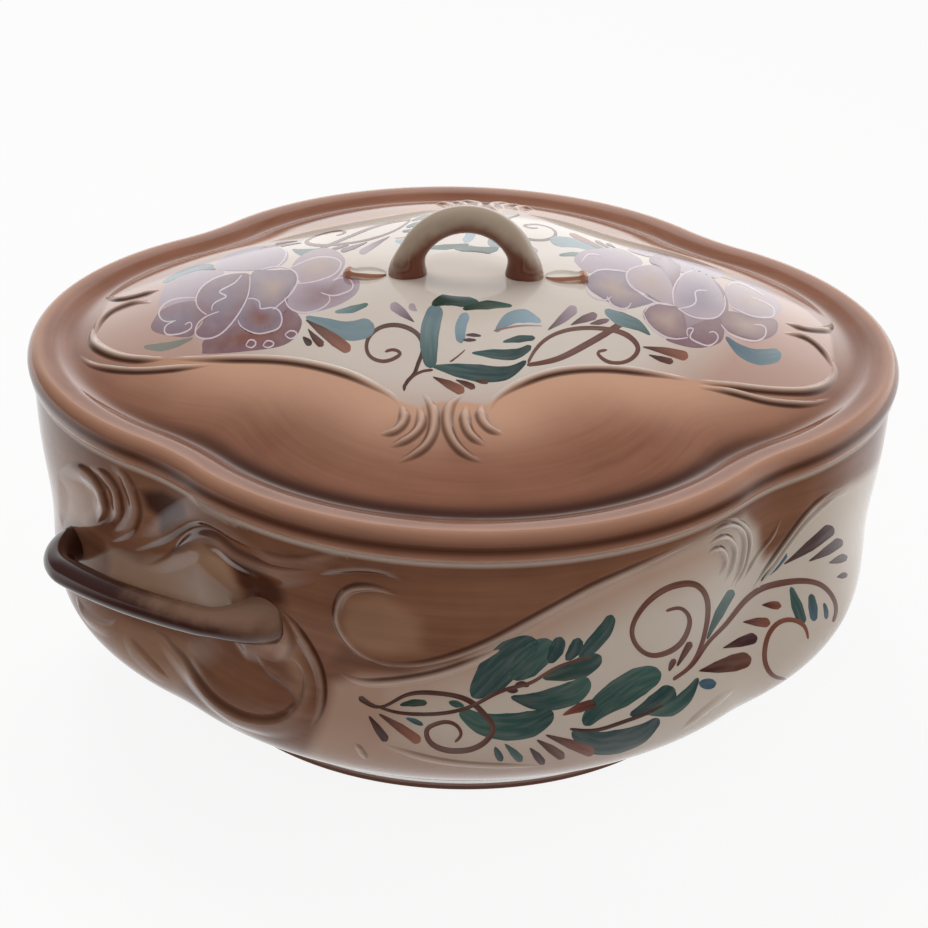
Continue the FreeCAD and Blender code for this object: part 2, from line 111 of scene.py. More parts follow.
def to_picture(points):
    """Pixel of each point: its offset from the eye over its depth, times the focal length."""
    ray = points - EYE
    depth = -(ray @ BACK)
    across, down = ray @ RIGHT / depth, -(ray @ UP) / depth
    return PICTURE / 2 + FOCAL * np.stack((across, down), axis=-1)


def spline(knots, values, at):
    """Natural cubic spline: through every value, smooth in curvature, straight at both ends."""
    knots, values = np.asarray(knots, float), np.asarray(values, float)
    gap = np.diff(knots)
    inner = np.arange(1, len(knots) - 1)
    system = np.eye(len(knots))
    system[inner, inner - 1] = gap[:-1]
    system[inner, inner] = 2 * (gap[:-1] + gap[1:])
    system[inner, inner + 1] = gap[1:]
    slope = np.diff(values, axis=0) / gap[:, None]
    bend = np.zeros_like(values)
    bend[1:-1] = 6 * np.diff(slope, axis=0)
    bend = np.linalg.solve(system, bend)
    low = np.clip(np.searchsorted(knots, at, side="right") - 1, 0, len(gap) - 1)
    width = gap[low][:, None]
    after = (at[:, None] - knots[low][:, None]) / width
    before = 1 - after
    bow = (before ** 3 - before) * bend[low] + (after ** 3 - after) * bend[low + 1]
    return before * values[low] + after * values[low + 1] + bow * width ** 2 / 6


def ease(low, high, value):
    """Smooth step from 0 at the low value to 1 at the high one."""
    share = np.clip((value - low) / (high - low), 0, 1)
    return share * share * (3 - 2 * share)


def bell(offset, width):
    """Bell-shaped share: 1 at no offset, falling off over the width as the exponential of its square."""
    return np.exp(-(offset / width) ** 2)


def full_turn(count):
    """Even angles once round the axis."""
    return np.linspace(0, 2 * np.pi, count, endpoint=False)


def lobed_radius(angle, reach, lobe, waist):
    """Distance of the lobed outline from the axis, at each angle.

    A lobe is an arc about a centre on the diagonal, a waist an arc about a centre on the axis
    and tangent to the lobes beside it. Each is met along the ray by the law of cosines.
    """
    round_lobe = reach - lobe
    offset = lobe * np.sqrt(0.5)
    centre = offset + np.sqrt((round_lobe + waist) ** 2 - offset ** 2)
    from_axis = np.pi / 4 - np.abs(angle % (np.pi / 2) - np.pi / 4)
    from_lobe = np.pi / 4 - from_axis
    on_lobe = lobe * np.cos(from_lobe) + np.sqrt(round_lobe ** 2 - (lobe * np.sin(from_lobe)) ** 2)
    reach_in = np.maximum(waist ** 2 - (centre * np.sin(from_axis)) ** 2, 0)
    on_waist = centre * np.cos(from_axis) - np.sqrt(reach_in)
    share = round_lobe / (round_lobe + waist)
    join = np.arctan2(offset * (1 - share), offset + (centre - offset) * share)
    return np.where(from_axis < join, on_waist, on_lobe)


def rings(columns, rows):
    """Grid of points from rows of (height, reach, lobe, waist), each an outline round the axis."""
    angle = full_turn(columns)
    height, reach, lobe, waist = (np.asarray(rows, float)[:, k:k + 1] for k in range(4))
    radius = lobed_radius(angle, reach, lobe, waist)
    return np.stack((radius * np.cos(angle), radius * np.sin(angle),
                     np.broadcast_to(height, radius.shape)), axis=-1)


def even_rows(sections, count):
    """Rows along the spline through the sections, evenly spaced along its side view."""
    sections = np.asarray(sections, float)
    knots = np.concatenate(([0], np.cumsum(np.hypot(*np.diff(sections[:, :2], axis=0).T))))
    fine = spline(knots, sections, np.linspace(0, knots[-1], 2000))
    run = np.concatenate(([0], np.cumsum(np.hypot(*np.diff(fine[:, :2], axis=0).T))))
    even = np.linspace(0, run[-1], count)
    return np.stack([np.interp(even, run, fine[:, k]) for k in range(4)], axis=-1)


def disc(radius, height):
    """Row of a plain circle."""
    return (height, radius, 0.0, 1000.0)


def inset(row, depth, height):
    """Row parallel to an outline, moved inwards by a depth and set at a height."""
    reach, lobe, waist = row
    return (height, reach - depth, lobe, waist + depth)


def pot_grid():
    """Rows of the pot: under the base, foot ring, wall, lip, hollow and floor. Gives the wall's rows."""
    inner = FOOT_RADIUS - FOOT_WIDTH
    foot = [disc(r, h) for r, h in (
        (8, FOOT_HEIGHT), (inner - FOOT_ROUND, FOOT_HEIGHT), (inner, FOOT_HEIGHT - FOOT_ROUND),
        (inner, FOOT_ROUND), (inner + FOOT_ROUND, 0), (FOOT_RADIUS - FOOT_ROUND, 0),
        (FOOT_RADIUS, FOOT_ROUND), (FOOT_RADIUS, FOOT_HEIGHT - 0.3))]
    wall = even_rows(POT_SECTIONS, WALL_ROWS)
    wall[-1, 0] -= LIP_ROUND
    top = POT_SECTIONS[-1][1:]
    lip = [inset(top, depth, RIM - drop) for depth, drop in (
        (0.3 * LIP_ROUND, 0.3 * LIP_ROUND), (LIP_ROUND, 0), (WALL - LIP_ROUND, 0),
        (WALL - 0.3 * LIP_ROUND, 0.3 * LIP_ROUND))]
    hollow = even_rows(HOLLOW_SECTIONS, 18)[::-1]
    hollow[0, 0] -= LIP_ROUND
    floor = [disc(r, HOLLOW_SECTIONS[0][0]) for r in (84, 30, 8)]
    rows = np.concatenate((foot, wall, lip, hollow, floor))
    return rings(POT_COLUMNS, rows), slice(len(foot), len(foot) + len(wall))


def lid_grid():
    """Rows of the lid: hollow, flange, seat, rolled rim, groove and dome. Gives the rows of the dome.

    The roll is an arc about a centre level with the widest line of the edge, and the groove an
    arc tangent to it whose lowest line lies at the groove's own inset and height. Rows near the
    groove's inner edge are averaged with their neighbours, so that it runs softly into the dome.
    """
    dome = even_rows([(RIM + h, *plan) for h, *plan in DOME_SECTIONS], 400)
    hollow = [(RIM + MOUTH_HEIGHT, *inset(EDGE, MOUTH_INSET, 0)[1:])]
    hollow += [(RIM + h - LID_WALL, *plan) for h, *plan in DOME_SECTIONS[1:]]
    hollow = even_rows(hollow, 14)[::-1]
    under = [inset(EDGE, depth, RIM + rise) for depth, rise in (
        (FLANGE_INNER + 0.5, -FLANGE_DEPTH + 1.5), (FLANGE_INNER - 0.8, -FLANGE_DEPTH),
        (FLANGE_OUTER + 0.8, -FLANGE_DEPTH), (FLANGE_OUTER, 0.8 - FLANGE_DEPTH),
        (FLANGE_OUTER, 0), (SEAT_INSET + 0.6, 0))]
    low = (GROOVE_INSET - ROLL_RADIUS, GROOVE_HEIGHT - EDGE_HEIGHT)
    bowl = (low[0] ** 2 + low[1] ** 2 - ROLL_RADIUS ** 2) / (2 * (ROLL_RADIUS - low[1]))
    meet = np.arctan2(low[1] + bowl, low[0])
    turn = np.linspace(-0.2, meet, 16)
    roll = np.stack((ROLL_RADIUS * (1 - np.cos(turn)), EDGE_HEIGHT + ROLL_RADIUS * np.sin(turn)), -1)
    roll[0] = (SEAT_INSET, 0.5)
    turn = np.linspace(np.pi + meet, 1.5 * np.pi, 14)[1:]
    groove = np.stack((GROOVE_INSET + bowl * np.cos(turn),
                       GROOVE_HEIGHT + bowl * (1 + np.sin(turn))), -1)
    band = [inset(EDGE, depth, RIM + rise) for depth, rise in np.concatenate((roll, groove))]
    above = dome[dome[:, 1] < EDGE[0] - GROOVE_INSET - 1.5]
    top = np.concatenate((band, above))
    run = np.concatenate(([0], np.cumsum(np.hypot(*np.diff(top[:, :2], axis=0).T))))
    even = np.linspace(0, run[-1], TOP_ROWS)
    top = np.stack([np.interp(even, run, top[:, k]) for k in range(4)], axis=-1)
    nearness = bell(even[:, None] - even, GROOVE_EASE)
    eased = nearness @ top / nearness.sum(axis=1, keepdims=True)
    crease = bell(even - run[len(band)], 3 * GROOVE_EASE)[:, None]
    top += (eased - top) * crease
    close = [(RIM + DOME_SECTIONS[-1][0], *plan) for plan in ((13, 1, 120), (7, 0, 1000), (2, 0, 1000))]
    rows = np.concatenate((hollow, under, top, close))
    first = len(hollow) + len(under)
    dome_first = first + int(np.searchsorted(even, run[len(band)] - 1.5))
    return rings(LID_COLUMNS, rows), slice(dome_first, first + TOP_ROWS), first


def normals(grid):
    """Unit normal at each point of a grid: along the columns crossed with along the rows."""
    along = np.roll(grid, -1, axis=1) - np.roll(grid, 1, axis=1)
    across = np.gradient(grid, axis=0)
    normal = np.cross(along, across)
    return normal / np.maximum(np.linalg.norm(normal, axis=-1, keepdims=True), 1e-9)


def sample(grid, column, row):
    """Value of a grid between its points, linear along both ways and closed round the columns."""
    left, low = np.floor(column).astype(int), np.clip(np.floor(row).astype(int), 0, len(grid) - 2)
    a, b = (column - left)[..., None], (row - low)[..., None]
    left, right = left % grid.shape[1], (left + 1) % grid.shape[1]
    below = grid[low, left] * (1 - a) + grid[low, right] * a
    above = grid[low + 1, left] * (1 - a) + grid[low + 1, right] * a
    return below * (1 - b) + above * b


# Search for the point that a pixel shows: thinning of rows and columns, number of steps, the most rows
# and columns in one step, and the least area in pixels that a row and a column are taken to span.
THIN_ROWS, THIN_COLUMNS = 3, 6
STEPS, STEP_ROWS, STEP_COLUMNS, LEAST_AREA = 12, 3, 5, 0.3


class Surface:
    """A glazed surface that carries scrolls and brush strokes: its grid, normals and decorated rows."""

    def __init__(self, grid, rows):
        self.grid, self.rows = grid, rows
        self.normal = normals(grid)
        self.half = grid.shape[1] / 2

    def under(self, pixels):
        """Column and row of the point that each pixel shows.

        It starts at the nearest visible point of a thinned grid, the one closer to the eye where
        two lie behind one another, and follows the slope of the picture over the surface to the
        pixel, in steps that are each limited in length.
        """
        pixels = np.asarray(pixels, float)
        rows = np.arange(self.rows.start, self.rows.stop, THIN_ROWS)
        columns = np.arange(0, self.grid.shape[1], THIN_COLUMNS)
        rows, columns = (m.ravel() for m in np.meshgrid(rows, columns, indexing="ij"))
        points = self.grid[rows, columns]
        seen = np.sum(self.normal[rows, columns] * (EYE - points), axis=-1) > 0
        rows, columns, shown = rows[seen], columns[seen], to_picture(points[seen])
        away = np.linalg.norm(EYE - points[seen], axis=-1)
        nearest = np.concatenate([
            np.argmin(np.sum((part[:, None] - shown) ** 2, axis=-1) + away, axis=1)
            for part in np.array_split(pixels, len(pixels) // 2000 + 1)])
        column, row = columns[nearest].astype(float), rows[nearest].astype(float)
        for _ in range(STEPS):
            here = to_picture(sample(self.grid, column, row))
            by_column = to_picture(sample(self.grid, column + 1, row)) - here
            by_row = to_picture(sample(self.grid, column, row + 1)) - here
            miss = pixels - here
            area = by_column[:, 0] * by_row[:, 1] - by_column[:, 1] * by_row[:, 0]
            area = np.copysign(np.maximum(np.abs(area), LEAST_AREA), area)
            columns = (miss[:, 0] * by_row[:, 1] - miss[:, 1] * by_row[:, 0]) / area
            rows = (by_column[:, 0] * miss[:, 1] - by_column[:, 1] * miss[:, 0]) / area
            column += np.clip(columns, -STEP_COLUMNS, STEP_COLUMNS)
            row += np.clip(rows, -STEP_ROWS, STEP_ROWS)
            row = np.clip(row, self.rows.start, self.rows.stop - 1.01)
        return column, row

    def follow(self, path):
        """Column and row along a curve of pixels, bridged where it runs off the edge in sight."""
        column, row = self.under(path)
        column = np.unwrap(column, period=self.grid.shape[1])
        shown = np.linalg.norm(to_picture(sample(self.grid, column, row)) - path, axis=-1) < 1
        run = np.arange(len(path))
        return np.interp(run, run[shown], column[shown]), np.interp(run, run[shown], row[shown])

    def at(self, column, row, lift):
        """Points on the surface, lifted off it along the normal."""
        return sample(self.grid, column, row) + sample(self.normal, column, row) * lift[..., None]

    def beside(self, column, row, across):
        """Columns and rows at distances to the left of a curve, within the surface.

        The side way is the normal crossed with the curve's direction, split along the surface's
        own two ways by their dot products.
        """
        by_column = sample(self.grid, column + 0.5, row) - sample(self.grid, column - 0.5, row)
        by_row = sample(self.grid, column, row + 0.5) - sample(self.grid, column, row - 0.5)
        way = np.gradient(column)[:, None] * by_column + np.gradient(row)[:, None] * by_row
        side = np.cross(sample(self.normal, column, row), way)
        side /= np.maximum(np.linalg.norm(side, axis=-1, keepdims=True), 1e-9)
        cc, rr, cr = (np.sum(p * q, axis=-1) for p, q in (
            (by_column, by_column), (by_row, by_row), (by_column, by_row)))
        sc, sr = np.sum(side * by_column, axis=-1), np.sum(side * by_row, axis=-1)
        area = cc * rr - cr ** 2
        step_column, step_row = (sc * rr - sr * cr) / area, (sr * cc - sc * cr) / area
        return column[:, None] + step_column[:, None] * across, row[:, None] + step_row[:, None] * across


def curve(points, spacing):
    """Smooth curve through picture points, at an even spacing along their chords."""
    points = np.asarray(points, float)
    knots = np.concatenate(([0], np.cumsum(np.linalg.norm(np.diff(points, axis=0), axis=1))))
    count = max(int(knots[-1] / spacing), 8)
    return spline(knots, points, np.linspace(0, knots[-1], count)), knots[-1] / (count - 1)


def along(values, count):
    """Values spread evenly along a curve and joined by straight stretches."""
    return np.interp(np.linspace(0, 1, count), np.linspace(0, 1, len(values)), values)


def linear(colour):
    """sRGB hex colour as linear red, green, blue and full opacity."""
    parts = np.array([int(colour[k:k + 2], 16) for k in (1, 3, 5)]) / 255
    parts = np.where(parts <= 0.04045, parts / 12.92, ((parts + 0.055) / 1.055) ** 2.4)
    return (*parts, 1.0)


def shut_faces(rows, columns, count):
    """Faces of a grid closed round its columns, with a pole before its first and after its last row.

    A count of points lies before the grid's own in the mesh, and the two poles come after them.
    """
    index = count + np.arange(rows * columns).reshape(rows, columns)
    turned = np.roll(index, -1, axis=1)
    quads = np.stack((index[:-1], turned[:-1], turned[1:], index[1:]), axis=-1).reshape(-1, 4)
    pole = np.full(columns, count + rows * columns)
    start = np.stack((turned[0], index[0], pole), axis=-1)
    end = np.stack((index[-1], turned[-1], pole + 1), axis=-1)
    return quads.tolist() + start.tolist() + end.tolist()


def with_poles(values):
    """Values on a grid as one list, followed by the mean of its first and of its last row."""
    flat = values.reshape(-1, *values.shape[2:])
    return np.concatenate((flat, values[:1].mean(axis=1), values[-1:].mean(axis=1)))


def make_piece(name, grids, marks, material, body, node=None, facing=None):
    """One mesh of closed grids with marks (named attributes), riding on a body of the part.

    Where facing normals are given, they replace the mesh's own, so that paint and the edges of
    scrolls shade as the glaze that they lie in.
    """
    points, faces, count = [], [], 0
    for grid in grids:
        faces += shut_faces(*grid.shape[:2], count)
        points.append(with_poles(grid))
        count += len(points[-1])
    mesh = bpy.data.meshes.new(name)
    mesh.from_pydata((np.concatenate(points) * MM).tolist(), [], faces)
    mesh.shade_smooth()
    for mark, values in marks.items():
        values = np.concatenate([with_poles(value) for value in values])
        kind, field = {1: ("FLOAT", "value"), 3: ("FLOAT_VECTOR", "vector"),
                       4: ("FLOAT_COLOR", "color")}[1 if values.ndim == 1 else values.shape[1]]
        mesh.attributes.new(mark, kind, "POINT").data.foreach_set(field, values.astype(np.float32).ravel())
    if facing:
        facing = np.concatenate([with_poles(normal) for normal in facing])
        facing /= np.linalg.norm(facing, axis=1, keepdims=True)
        mesh.normals_split_custom_set_from_vertices(facing.tolist())
    mesh.materials.append(material)
    piece = bpy.data.objects.new(name, mesh)
    bpy.context.scene.collection.objects.link(piece)
    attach(piece, body)
    if node:
        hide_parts(node)


def add_node(tree, kind, settings=None, **sockets):
    """Add a node, set its settings, and link or set its sockets, given by name or as s and a number."""
    node = tree.nodes.new("ShaderNode" + kind)
    for name, value in (settings or {}).items():
        setattr(node, name, value)
    for name, value in sockets.items():
        key = int(name[1:]) if name[1:].isdigit() else name.replace("_", " ")
        if isinstance(value, bpy.types.NodeSocket):
            tree.links.new(value, node.inputs[key])
        else:
            node.inputs[key].default_value = value
    return node


def mix(tree, share, first, second):
    """Colour mixed from two, by a share of the second."""
    return add_node(tree, "Mix", {"data_type": "RGBA"}, s0=share, s6=first, s7=second).outputs[2]


def reckon(tree, operation, *values, clamp=False):
    """Number worked out from two or three others, held between 0 and 1 where it is clamped."""
    sockets = {f"s{place}": value for place, value in enumerate(values)}
    return add_node(tree, "Math", {"operation": operation, "use_clamp": clamp}, **sockets).outputs[0]


def ramp(tree, value, low, high, start=0.0, end=1.0, kind="LINEAR"):
    """Value carried from the range of low to high onto that of start to end, and held beyond it."""
    return add_node(tree, "MapRange", {"interpolation_type": kind}, Value=value, s1=low, s2=high,
                    s3=start, s4=end).outputs["Result"]


def new_material(name):
    """New node material, its node tree and its shader."""
    material = bpy.data.materials.new(name)
    material.use_nodes = True
    return material, material.node_tree, material.node_tree.nodes["Principled BSDF"]


def set_shader(shader, **values):
    """Constant values on the shader's own sockets."""
    for name, value in values.items():
        shader.inputs[name.replace("_", " ")].default_value = value


# Glaze: roughness of its gloss and of bare clay, how much it bends light, the colours of pooled glaze
# with painted shade, of a worn crest with a painted highlight and of bare clay, and the cream that shows
# through thin paint.
GLOSSY, MATT, GLAZE_BEND = 0.1, 0.75, 1.5
POOLED_AND_SHADED, WORN_AND_HIGHLIGHT, BARE_CLAY, SHOWN_CREAM = "#3C1808", "#E6D8CA", "#7B5140", "#CFC2B4"


def ripple(tree, shader, place):
    """Slow waves of a poured glaze, about 9 mm apart, so that reflections run a little uneven."""
    waves = add_node(tree, "TexNoise", Vector=place, Scale=1 / (9 * MM), Detail=1.0).outputs["Fac"]
    bump = add_node(tree, "Bump", Strength=0.35, Distance=0.12 * MM, Height=waves)
    tree.links.new(bump.outputs["Normal"], shader.inputs["Normal"])


def lead_glaze(name, brown, dark, thin_and_sheen, cream, blush):
    """Transparent lead glaze over brushed brown slip on white slip, fired to a high gloss.

    The brown shows its brush in faint streaks that run round the pot, thins out towards the cream,
    lies dark where the glaze has pooled and breaks to pale on a crest. The lighter thin brown also stands
    for a painted sheen, the dark for painted shade and the pale crest for a painted highlight. The cream
    blushes where brown was wiped thin over it. The foot is bare, matt clay. The marks on the mesh say
    where each lies.
    """
    material, tree, shader = new_material(name)
    marks = {mark: add_node(tree, "Attribute", {"attribute_name": mark}).outputs
             for mark in ("cream", "blush", "thin_and_sheen", "pool_and_shade", "crest_and_highlight", "bare", "brush")}
    place = add_node(tree, "TexCoord").outputs["Object"]
    streak = add_node(tree, "TexNoise", Vector=marks["brush"]["Vector"], Scale=1.0, Detail=3.0,
                      Roughness=0.55).outputs["Fac"]
    cloud = add_node(tree, "TexNoise", Vector=place, Scale=1 / (35 * MM), Detail=3.0).outputs["Fac"]
    slip = ramp(tree, reckon(tree, "MULTIPLY_ADD", streak, 0.7, cloud), 0.55, 1.1)
    browns = mix(tree, slip, linear(dark), linear(brown))
    # Lighter where the brown is thin, which also paints in a sheen.
    browns = mix(tree, marks["thin_and_sheen"]["Fac"], browns, linear(thin_and_sheen))
    tint = reckon(tree, "MULTIPLY_ADD", cloud, 0.35, marks["blush"]["Fac"], clamp=True)
    tint = reckon(tree, "SUBTRACT", tint, 0.15, clamp=True)
    creams = mix(tree, tint, linear(cream), linear(blush))
    colour = mix(tree, marks["cream"]["Fac"], browns, creams)
    # Darker with pooled glaze and painted shade, paler on a worn crest with a painted highlight, and bare
    # clay.
    for mark, shade in (("pool_and_shade", POOLED_AND_SHADED), ("crest_and_highlight", WORN_AND_HIGHLIGHT), ("bare", BARE_CLAY)):
        colour = mix(tree, marks[mark]["Fac"], colour, linear(shade))
    tree.links.new(colour, shader.inputs["Base Color"])
    matt = ramp(tree, marks["bare"]["Fac"], 0.0, 1.0, GLOSSY, MATT)
    tree.links.new(matt, shader.inputs["Roughness"])
    ripple(tree, shader, place)
    set_shader(shader, IOR=GLAZE_BEND)
    return material


def brushed_colour(name):
    """Metal-oxide colours brushed on under the glaze, streaked by the hairs of the brush.

    The stroke's own colour is a mark on the mesh, and the brush mark runs along the stroke.
    """
    material, tree, shader = new_material(name)
    pigment = add_node(tree, "Attribute", {"attribute_name": "pigment"}).outputs["Color"]
    brush = add_node(tree, "Attribute", {"attribute_name": "brush"}).outputs["Vector"]
    place = add_node(tree, "TexCoord").outputs["Object"]
    hairs = add_node(tree, "TexNoise", Vector=brush, Scale=1.0, Detail=3.0).outputs["Fac"]
    washed = mix(tree, ramp(tree, hairs, 0.4, 0.8, 0.0, 0.14), pigment, linear(SHOWN_CREAM))
    tree.links.new(washed, shader.inputs["Base Color"])
    ripple(tree, shader, place)
    set_shader(shader, Roughness=GLOSSY, IOR=GLAZE_BEND)
    return material


# Colours of the brush, as hex.
PIGMENTS = {
    "teal": "#3A5956", "deep": "#223A3C", "mist": "#758C93", "sage": "#47685F", "blue": "#3F5A6C",
    "pale blue": "#94ABBA", "forest": "#263C30", "reed": "#84857A", "pine": "#2C4744", "moss": "#3E5C54",
    "umber": "#6A3F32", "bistre": "#452721", "plum": "#46272C", "rose": "#985D49", "rust": "#864B3A",
    "slate": "#877687", "lilac": "#AE99A4", "mauve": "#87656D", "haze": "#AE9CA6", "glow": "#B59A8E",
    "line": "#DCCBD2",
}

# Raised scrolls: height and half width in millimetres (or the widths on the left and on the right of
# the way they run), share of dark pooled glaze and painted shade on the left and on the right, share of
# pale crest and painted highlight, whether the far side repeats them, picture points.
LID_SCROLLS = {
    "front left": (1.3, (3.4, 2.2), 1.0, 0, 0.75, True, (
        (402, 410), (398, 401), (380, 388), (355, 376), (330, 368), (288, 360), (247, 358), (207, 358),
        (167, 358))),
    "left end": (1.3, (3.2, 2.2), 1.0, 0, 0.75, False, (
        (167, 358), (150, 359), (124, 357), (104, 350), (94, 341), (93, 333), (98, 325))),
    "left end upper": (1.2, (2.2, 3.0), 0, 0.85, 0.7, False, (
        (94, 337), (98, 325), (108, 314), (124, 306), (139, 302), (153, 303))),
    "left second": (1.1, (2.0, 3.0), 0, 1.0, 0.7, False, (
        (78, 354), (90, 363), (104, 367), (134, 370), (174, 368), (214, 364))),
    "left hook": (1.1, 2.8, 0, 0.95, 0.4, False, (
        (105, 297), (116, 299), (134, 297), (152, 292), (162, 289))),
    "front right": (1.3, (2.2, 3.4), 0, 1.0, 0.75, True, (
        (486, 417), (490, 404), (511, 387), (540, 375), (572, 369), (604, 368), (654, 373), (694, 380))),
    "right end": (1.3, (2.2, 3.2), 0, 1.0, 0.7, False, (
        (694, 380), (730, 385), (761, 389), (791, 391), (817, 388), (832, 377), (834, 367), (830, 359))),
    "right end upper": (1.2, (3.0, 2.2), 0.95, 0, 0.6, False, (
        (834, 369), (828, 357), (817, 345), (801, 336), (783, 333))),
    "right second": (1.1, (2.0, 3.0), 0, 1.0, 0.6, False, (
        (694, 386), (730, 391), (761, 399), (791, 403), (817, 402), (832, 398))),
    "right hook": (1.1, 2.8, 0, 0.9, 0.4, False, (
        (784, 322), (801, 328), (818, 330), (829, 328), (832, 321))),
    "right back": (1.1, (2.2, 2.8), 0.0, 0.6, 0.4, False, (
        (830, 326), (833, 317), (825, 306), (806, 294), (787, 286), (757, 274), (728, 264))),
    "palm left 1": (1.2, 2.4, 0.7, 0.7, 0.3, True, ((401, 404), (404, 420), (395, 431), (379, 434))),
    "palm left 2": (1.2, 2.4, 0.7, 0.7, 0.3, True, ((418, 405), (421, 424), (408, 439), (388, 447))),
    "palm left 3": (1.3, 2.4, 0.7, 0.7, 0.3, True, (
        (422, 392), (431, 405), (434, 425), (427, 444), (412, 456), (395, 463))),
    "palm right 1": (1.3, 2.4, 0.7, 0.7, 0.3, True, (
        (465, 393), (452, 403), (447, 420), (452, 439), (465, 454), (486, 463))),
    "palm right 2": (1.2, 2.4, 0.7, 0.7, 0.3, True, ((467, 405), (465, 420), (471, 435), (487, 446))),
    "palm right 3": (1.2, 2.4, 0.7, 0.7, 0.3, True, ((482, 404), (481, 416), (490, 429), (504, 434))),
}
POT_SCROLLS = {
    "shell 1": (1.4, (3.2, 7.0), 0.75, 0.1, 0.1, True, (
        (59, 474), (70, 469), (82, 470), (95, 480), (103, 496), (104, 511), (95, 522))),
    "shell 2": (1.2, (3.0, 5.0), 0.8, 0.2, 0.1, True, (
        (88, 467), (103, 474), (114, 486), (119, 502), (118, 516), (110, 526))),
    "shell 3": (1.2, (3.0, 5.0), 0.65, 0.3, 0.1, True, (
        (108, 464), (124, 475), (133, 492), (137, 510), (134, 522), (122, 535), (108, 541))),
    "wave 1": (1.7, (7.5, 3.4), 0.1, 0.85, 0.1, True, (
        (133, 550), (152, 541), (170, 531), (186, 521), (200, 517), (214, 521), (236, 535), (262, 552))),
    "wave 2": (1.6, (3.4, 7.0), 0.7, 0.1, 0.1, True, (
        (143, 568), (163, 563), (179, 552), (192, 541), (206, 537), (218, 540), (232, 551), (252, 562),
        (275, 569), (305, 571), (336, 566))),
    "wave 3": (1.0, (3.0, 6.0), 0.45, 0.1, 0.08, True, (
        (246, 543), (268, 556), (296, 561), (330, 556), (350, 553))),
    "egg left": (1.7, (3.4, 8.0), 0.65, 0.1, 0.1, True, (
        (146, 642), (150, 635), (160, 636), (171, 647), (183, 660), (196, 678), (212, 698), (234, 714),
        (260, 722), (284, 720), (300, 708), (308, 690), (307, 674), (297, 660), (283, 655))),
    "egg inner": (0.8, (4.0, 3.0), 0.1, 0.4, 0.06, True, (
        (255, 652), (268, 667), (287, 681), (299, 696), (298, 712), (283, 728))),
    "fold low": (0.7, (3.0, 7.0), 0.3, 0.1, 0.05, True, (
        (122, 632), (132, 644), (145, 658), (158, 671), (172, 682))),
    "fold high": (0.9, (3.0, 5.0), 0.4, 0.2, 0.08, True, (
        (76, 594), (84, 612), (96, 622), (112, 626), (118, 618))),
    "foot scroll": (1.2, (4.0, 5.0), 0.4, 0.2, 0.08, True, (
        (236, 603), (258, 606), (276, 617), (286, 633), (284, 650), (268, 662))),
    "egg rim": (1.0, (2.2, 4.0), 0.9, 0, 0.12, True, (
        (274, 605), (291, 621), (307, 643), (319, 668), (322, 694), (316, 717), (300, 735))),
    "scroll top": (0.9, 2.0, 0.0, 0.8, 0.15, True, (
        (310, 577), (328, 571), (353, 568), (375, 569), (390, 573), (405, 582))),
    "scroll curl": (1.2, (2.0, 2.2), 0, 0.9, 0.25, True, (
        (400, 597), (384, 590), (363, 587), (348, 591), (339, 604), (338, 621), (347, 639), (363, 654),
        (385, 663))),
    "scroll": (1.0, (2.2, 2.0), 0.85, 0, 0.25, True, (
        (347, 639), (363, 654), (385, 663), (411, 665), (441, 660), (471, 650), (496, 639), (526, 623),
        (561, 604), (595, 586), (620, 575), (655, 559), (690, 543), (722, 530))),
    "scroll under": (1.0, (2.4, 2.2), 0.9, 0, 0.25, True, (
        (337, 671), (354, 680), (378, 683), (408, 680), (434, 675), (460, 667), (482, 658), (505, 647))),
    "flute 1": (1.3, 1.6, 0.95, 0.15, 0.6, True, (
        (704, 542), (715, 531), (729, 525), (740, 529), (744, 540), (743, 554), (739, 570), (729, 590))),
    "flute 2": (1.3, 1.6, 0.95, 0.15, 0.6, True, (
        (722, 521), (736, 521), (747, 530), (749, 545), (746, 560), (740, 576), (733, 590))),
    "flute 3": (1.3, 1.6, 0.95, 0.15, 0.6, True, (
        (706, 549), (714, 541), (725, 537), (733, 544), (734, 556), (731, 568), (724, 584))),
    "flute 4": (1.3, 1.6, 0.95, 0.15, 0.6, True, (
        (707, 556), (713, 550), (720, 549), (725, 557), (724, 566), (718, 577))),
    "lobe ridge 1": (1.3, 1.7, 0.85, 0.5, 0.5, True, (
        (750, 594), (761, 576), (775, 555), (793, 530), (811, 508), (832, 492), (850, 484))),
    "lobe ridge 2": (1.2, 1.6, 0.3, 0.8, 0.5, True, (
        (754, 593), (766, 577), (779, 558), (798, 532), (818, 511), (837, 497), (854, 490))),
    "lobe ridge 3": (0.9, 1.7, 0.4, 0.2, 0.35, True, ((743, 582), (757, 556), (772, 536), (782, 518))),
    "low fold 1": (0.9, 2.6, 0.2, 0.2, 0.3, True, ((680, 731), (697, 717), (715, 703), (735, 689))),
    "low line": (0.6, 2.0, 0.45, 0.1, 0.2, True, (
        (376, 742), (404, 752), (441, 761), (478, 765), (515, 766), (545, 766))),
    "low crease": (0.6, 1.8, 0.4, 0.1, 0.2, True, ((354, 743), (361, 751), (366, 760))),
}

# Edge of the cream field, as picture points. On the lid the far half is the same edge turned round.
LID_CREAM_EDGE = (
    (93, 333), (96, 343), (106, 352), (124, 357), (167, 358), (207, 358), (247, 358), (288, 360),
    (330, 368), (355, 376), (380, 388), (398, 401), (418, 408), (440, 402), (466, 402), (488, 405),
    (511, 387), (540, 375), (572, 369), (604, 368), (654, 373), (694, 380), (730, 385), (761, 389),
    (791, 391), (817, 388), (832, 377), (834, 367))
POT_CREAM_EDGE = (
    (330, 774), (322, 720), (334, 684), (360, 676), (408, 676), (460, 662), (500, 640), (561, 604),
    (620, 575), (690, 543), (716, 528), (745, 516), (757, 530), (759, 548), (764, 560), (775, 553),
    (811, 508), (850, 484), (872, 470))
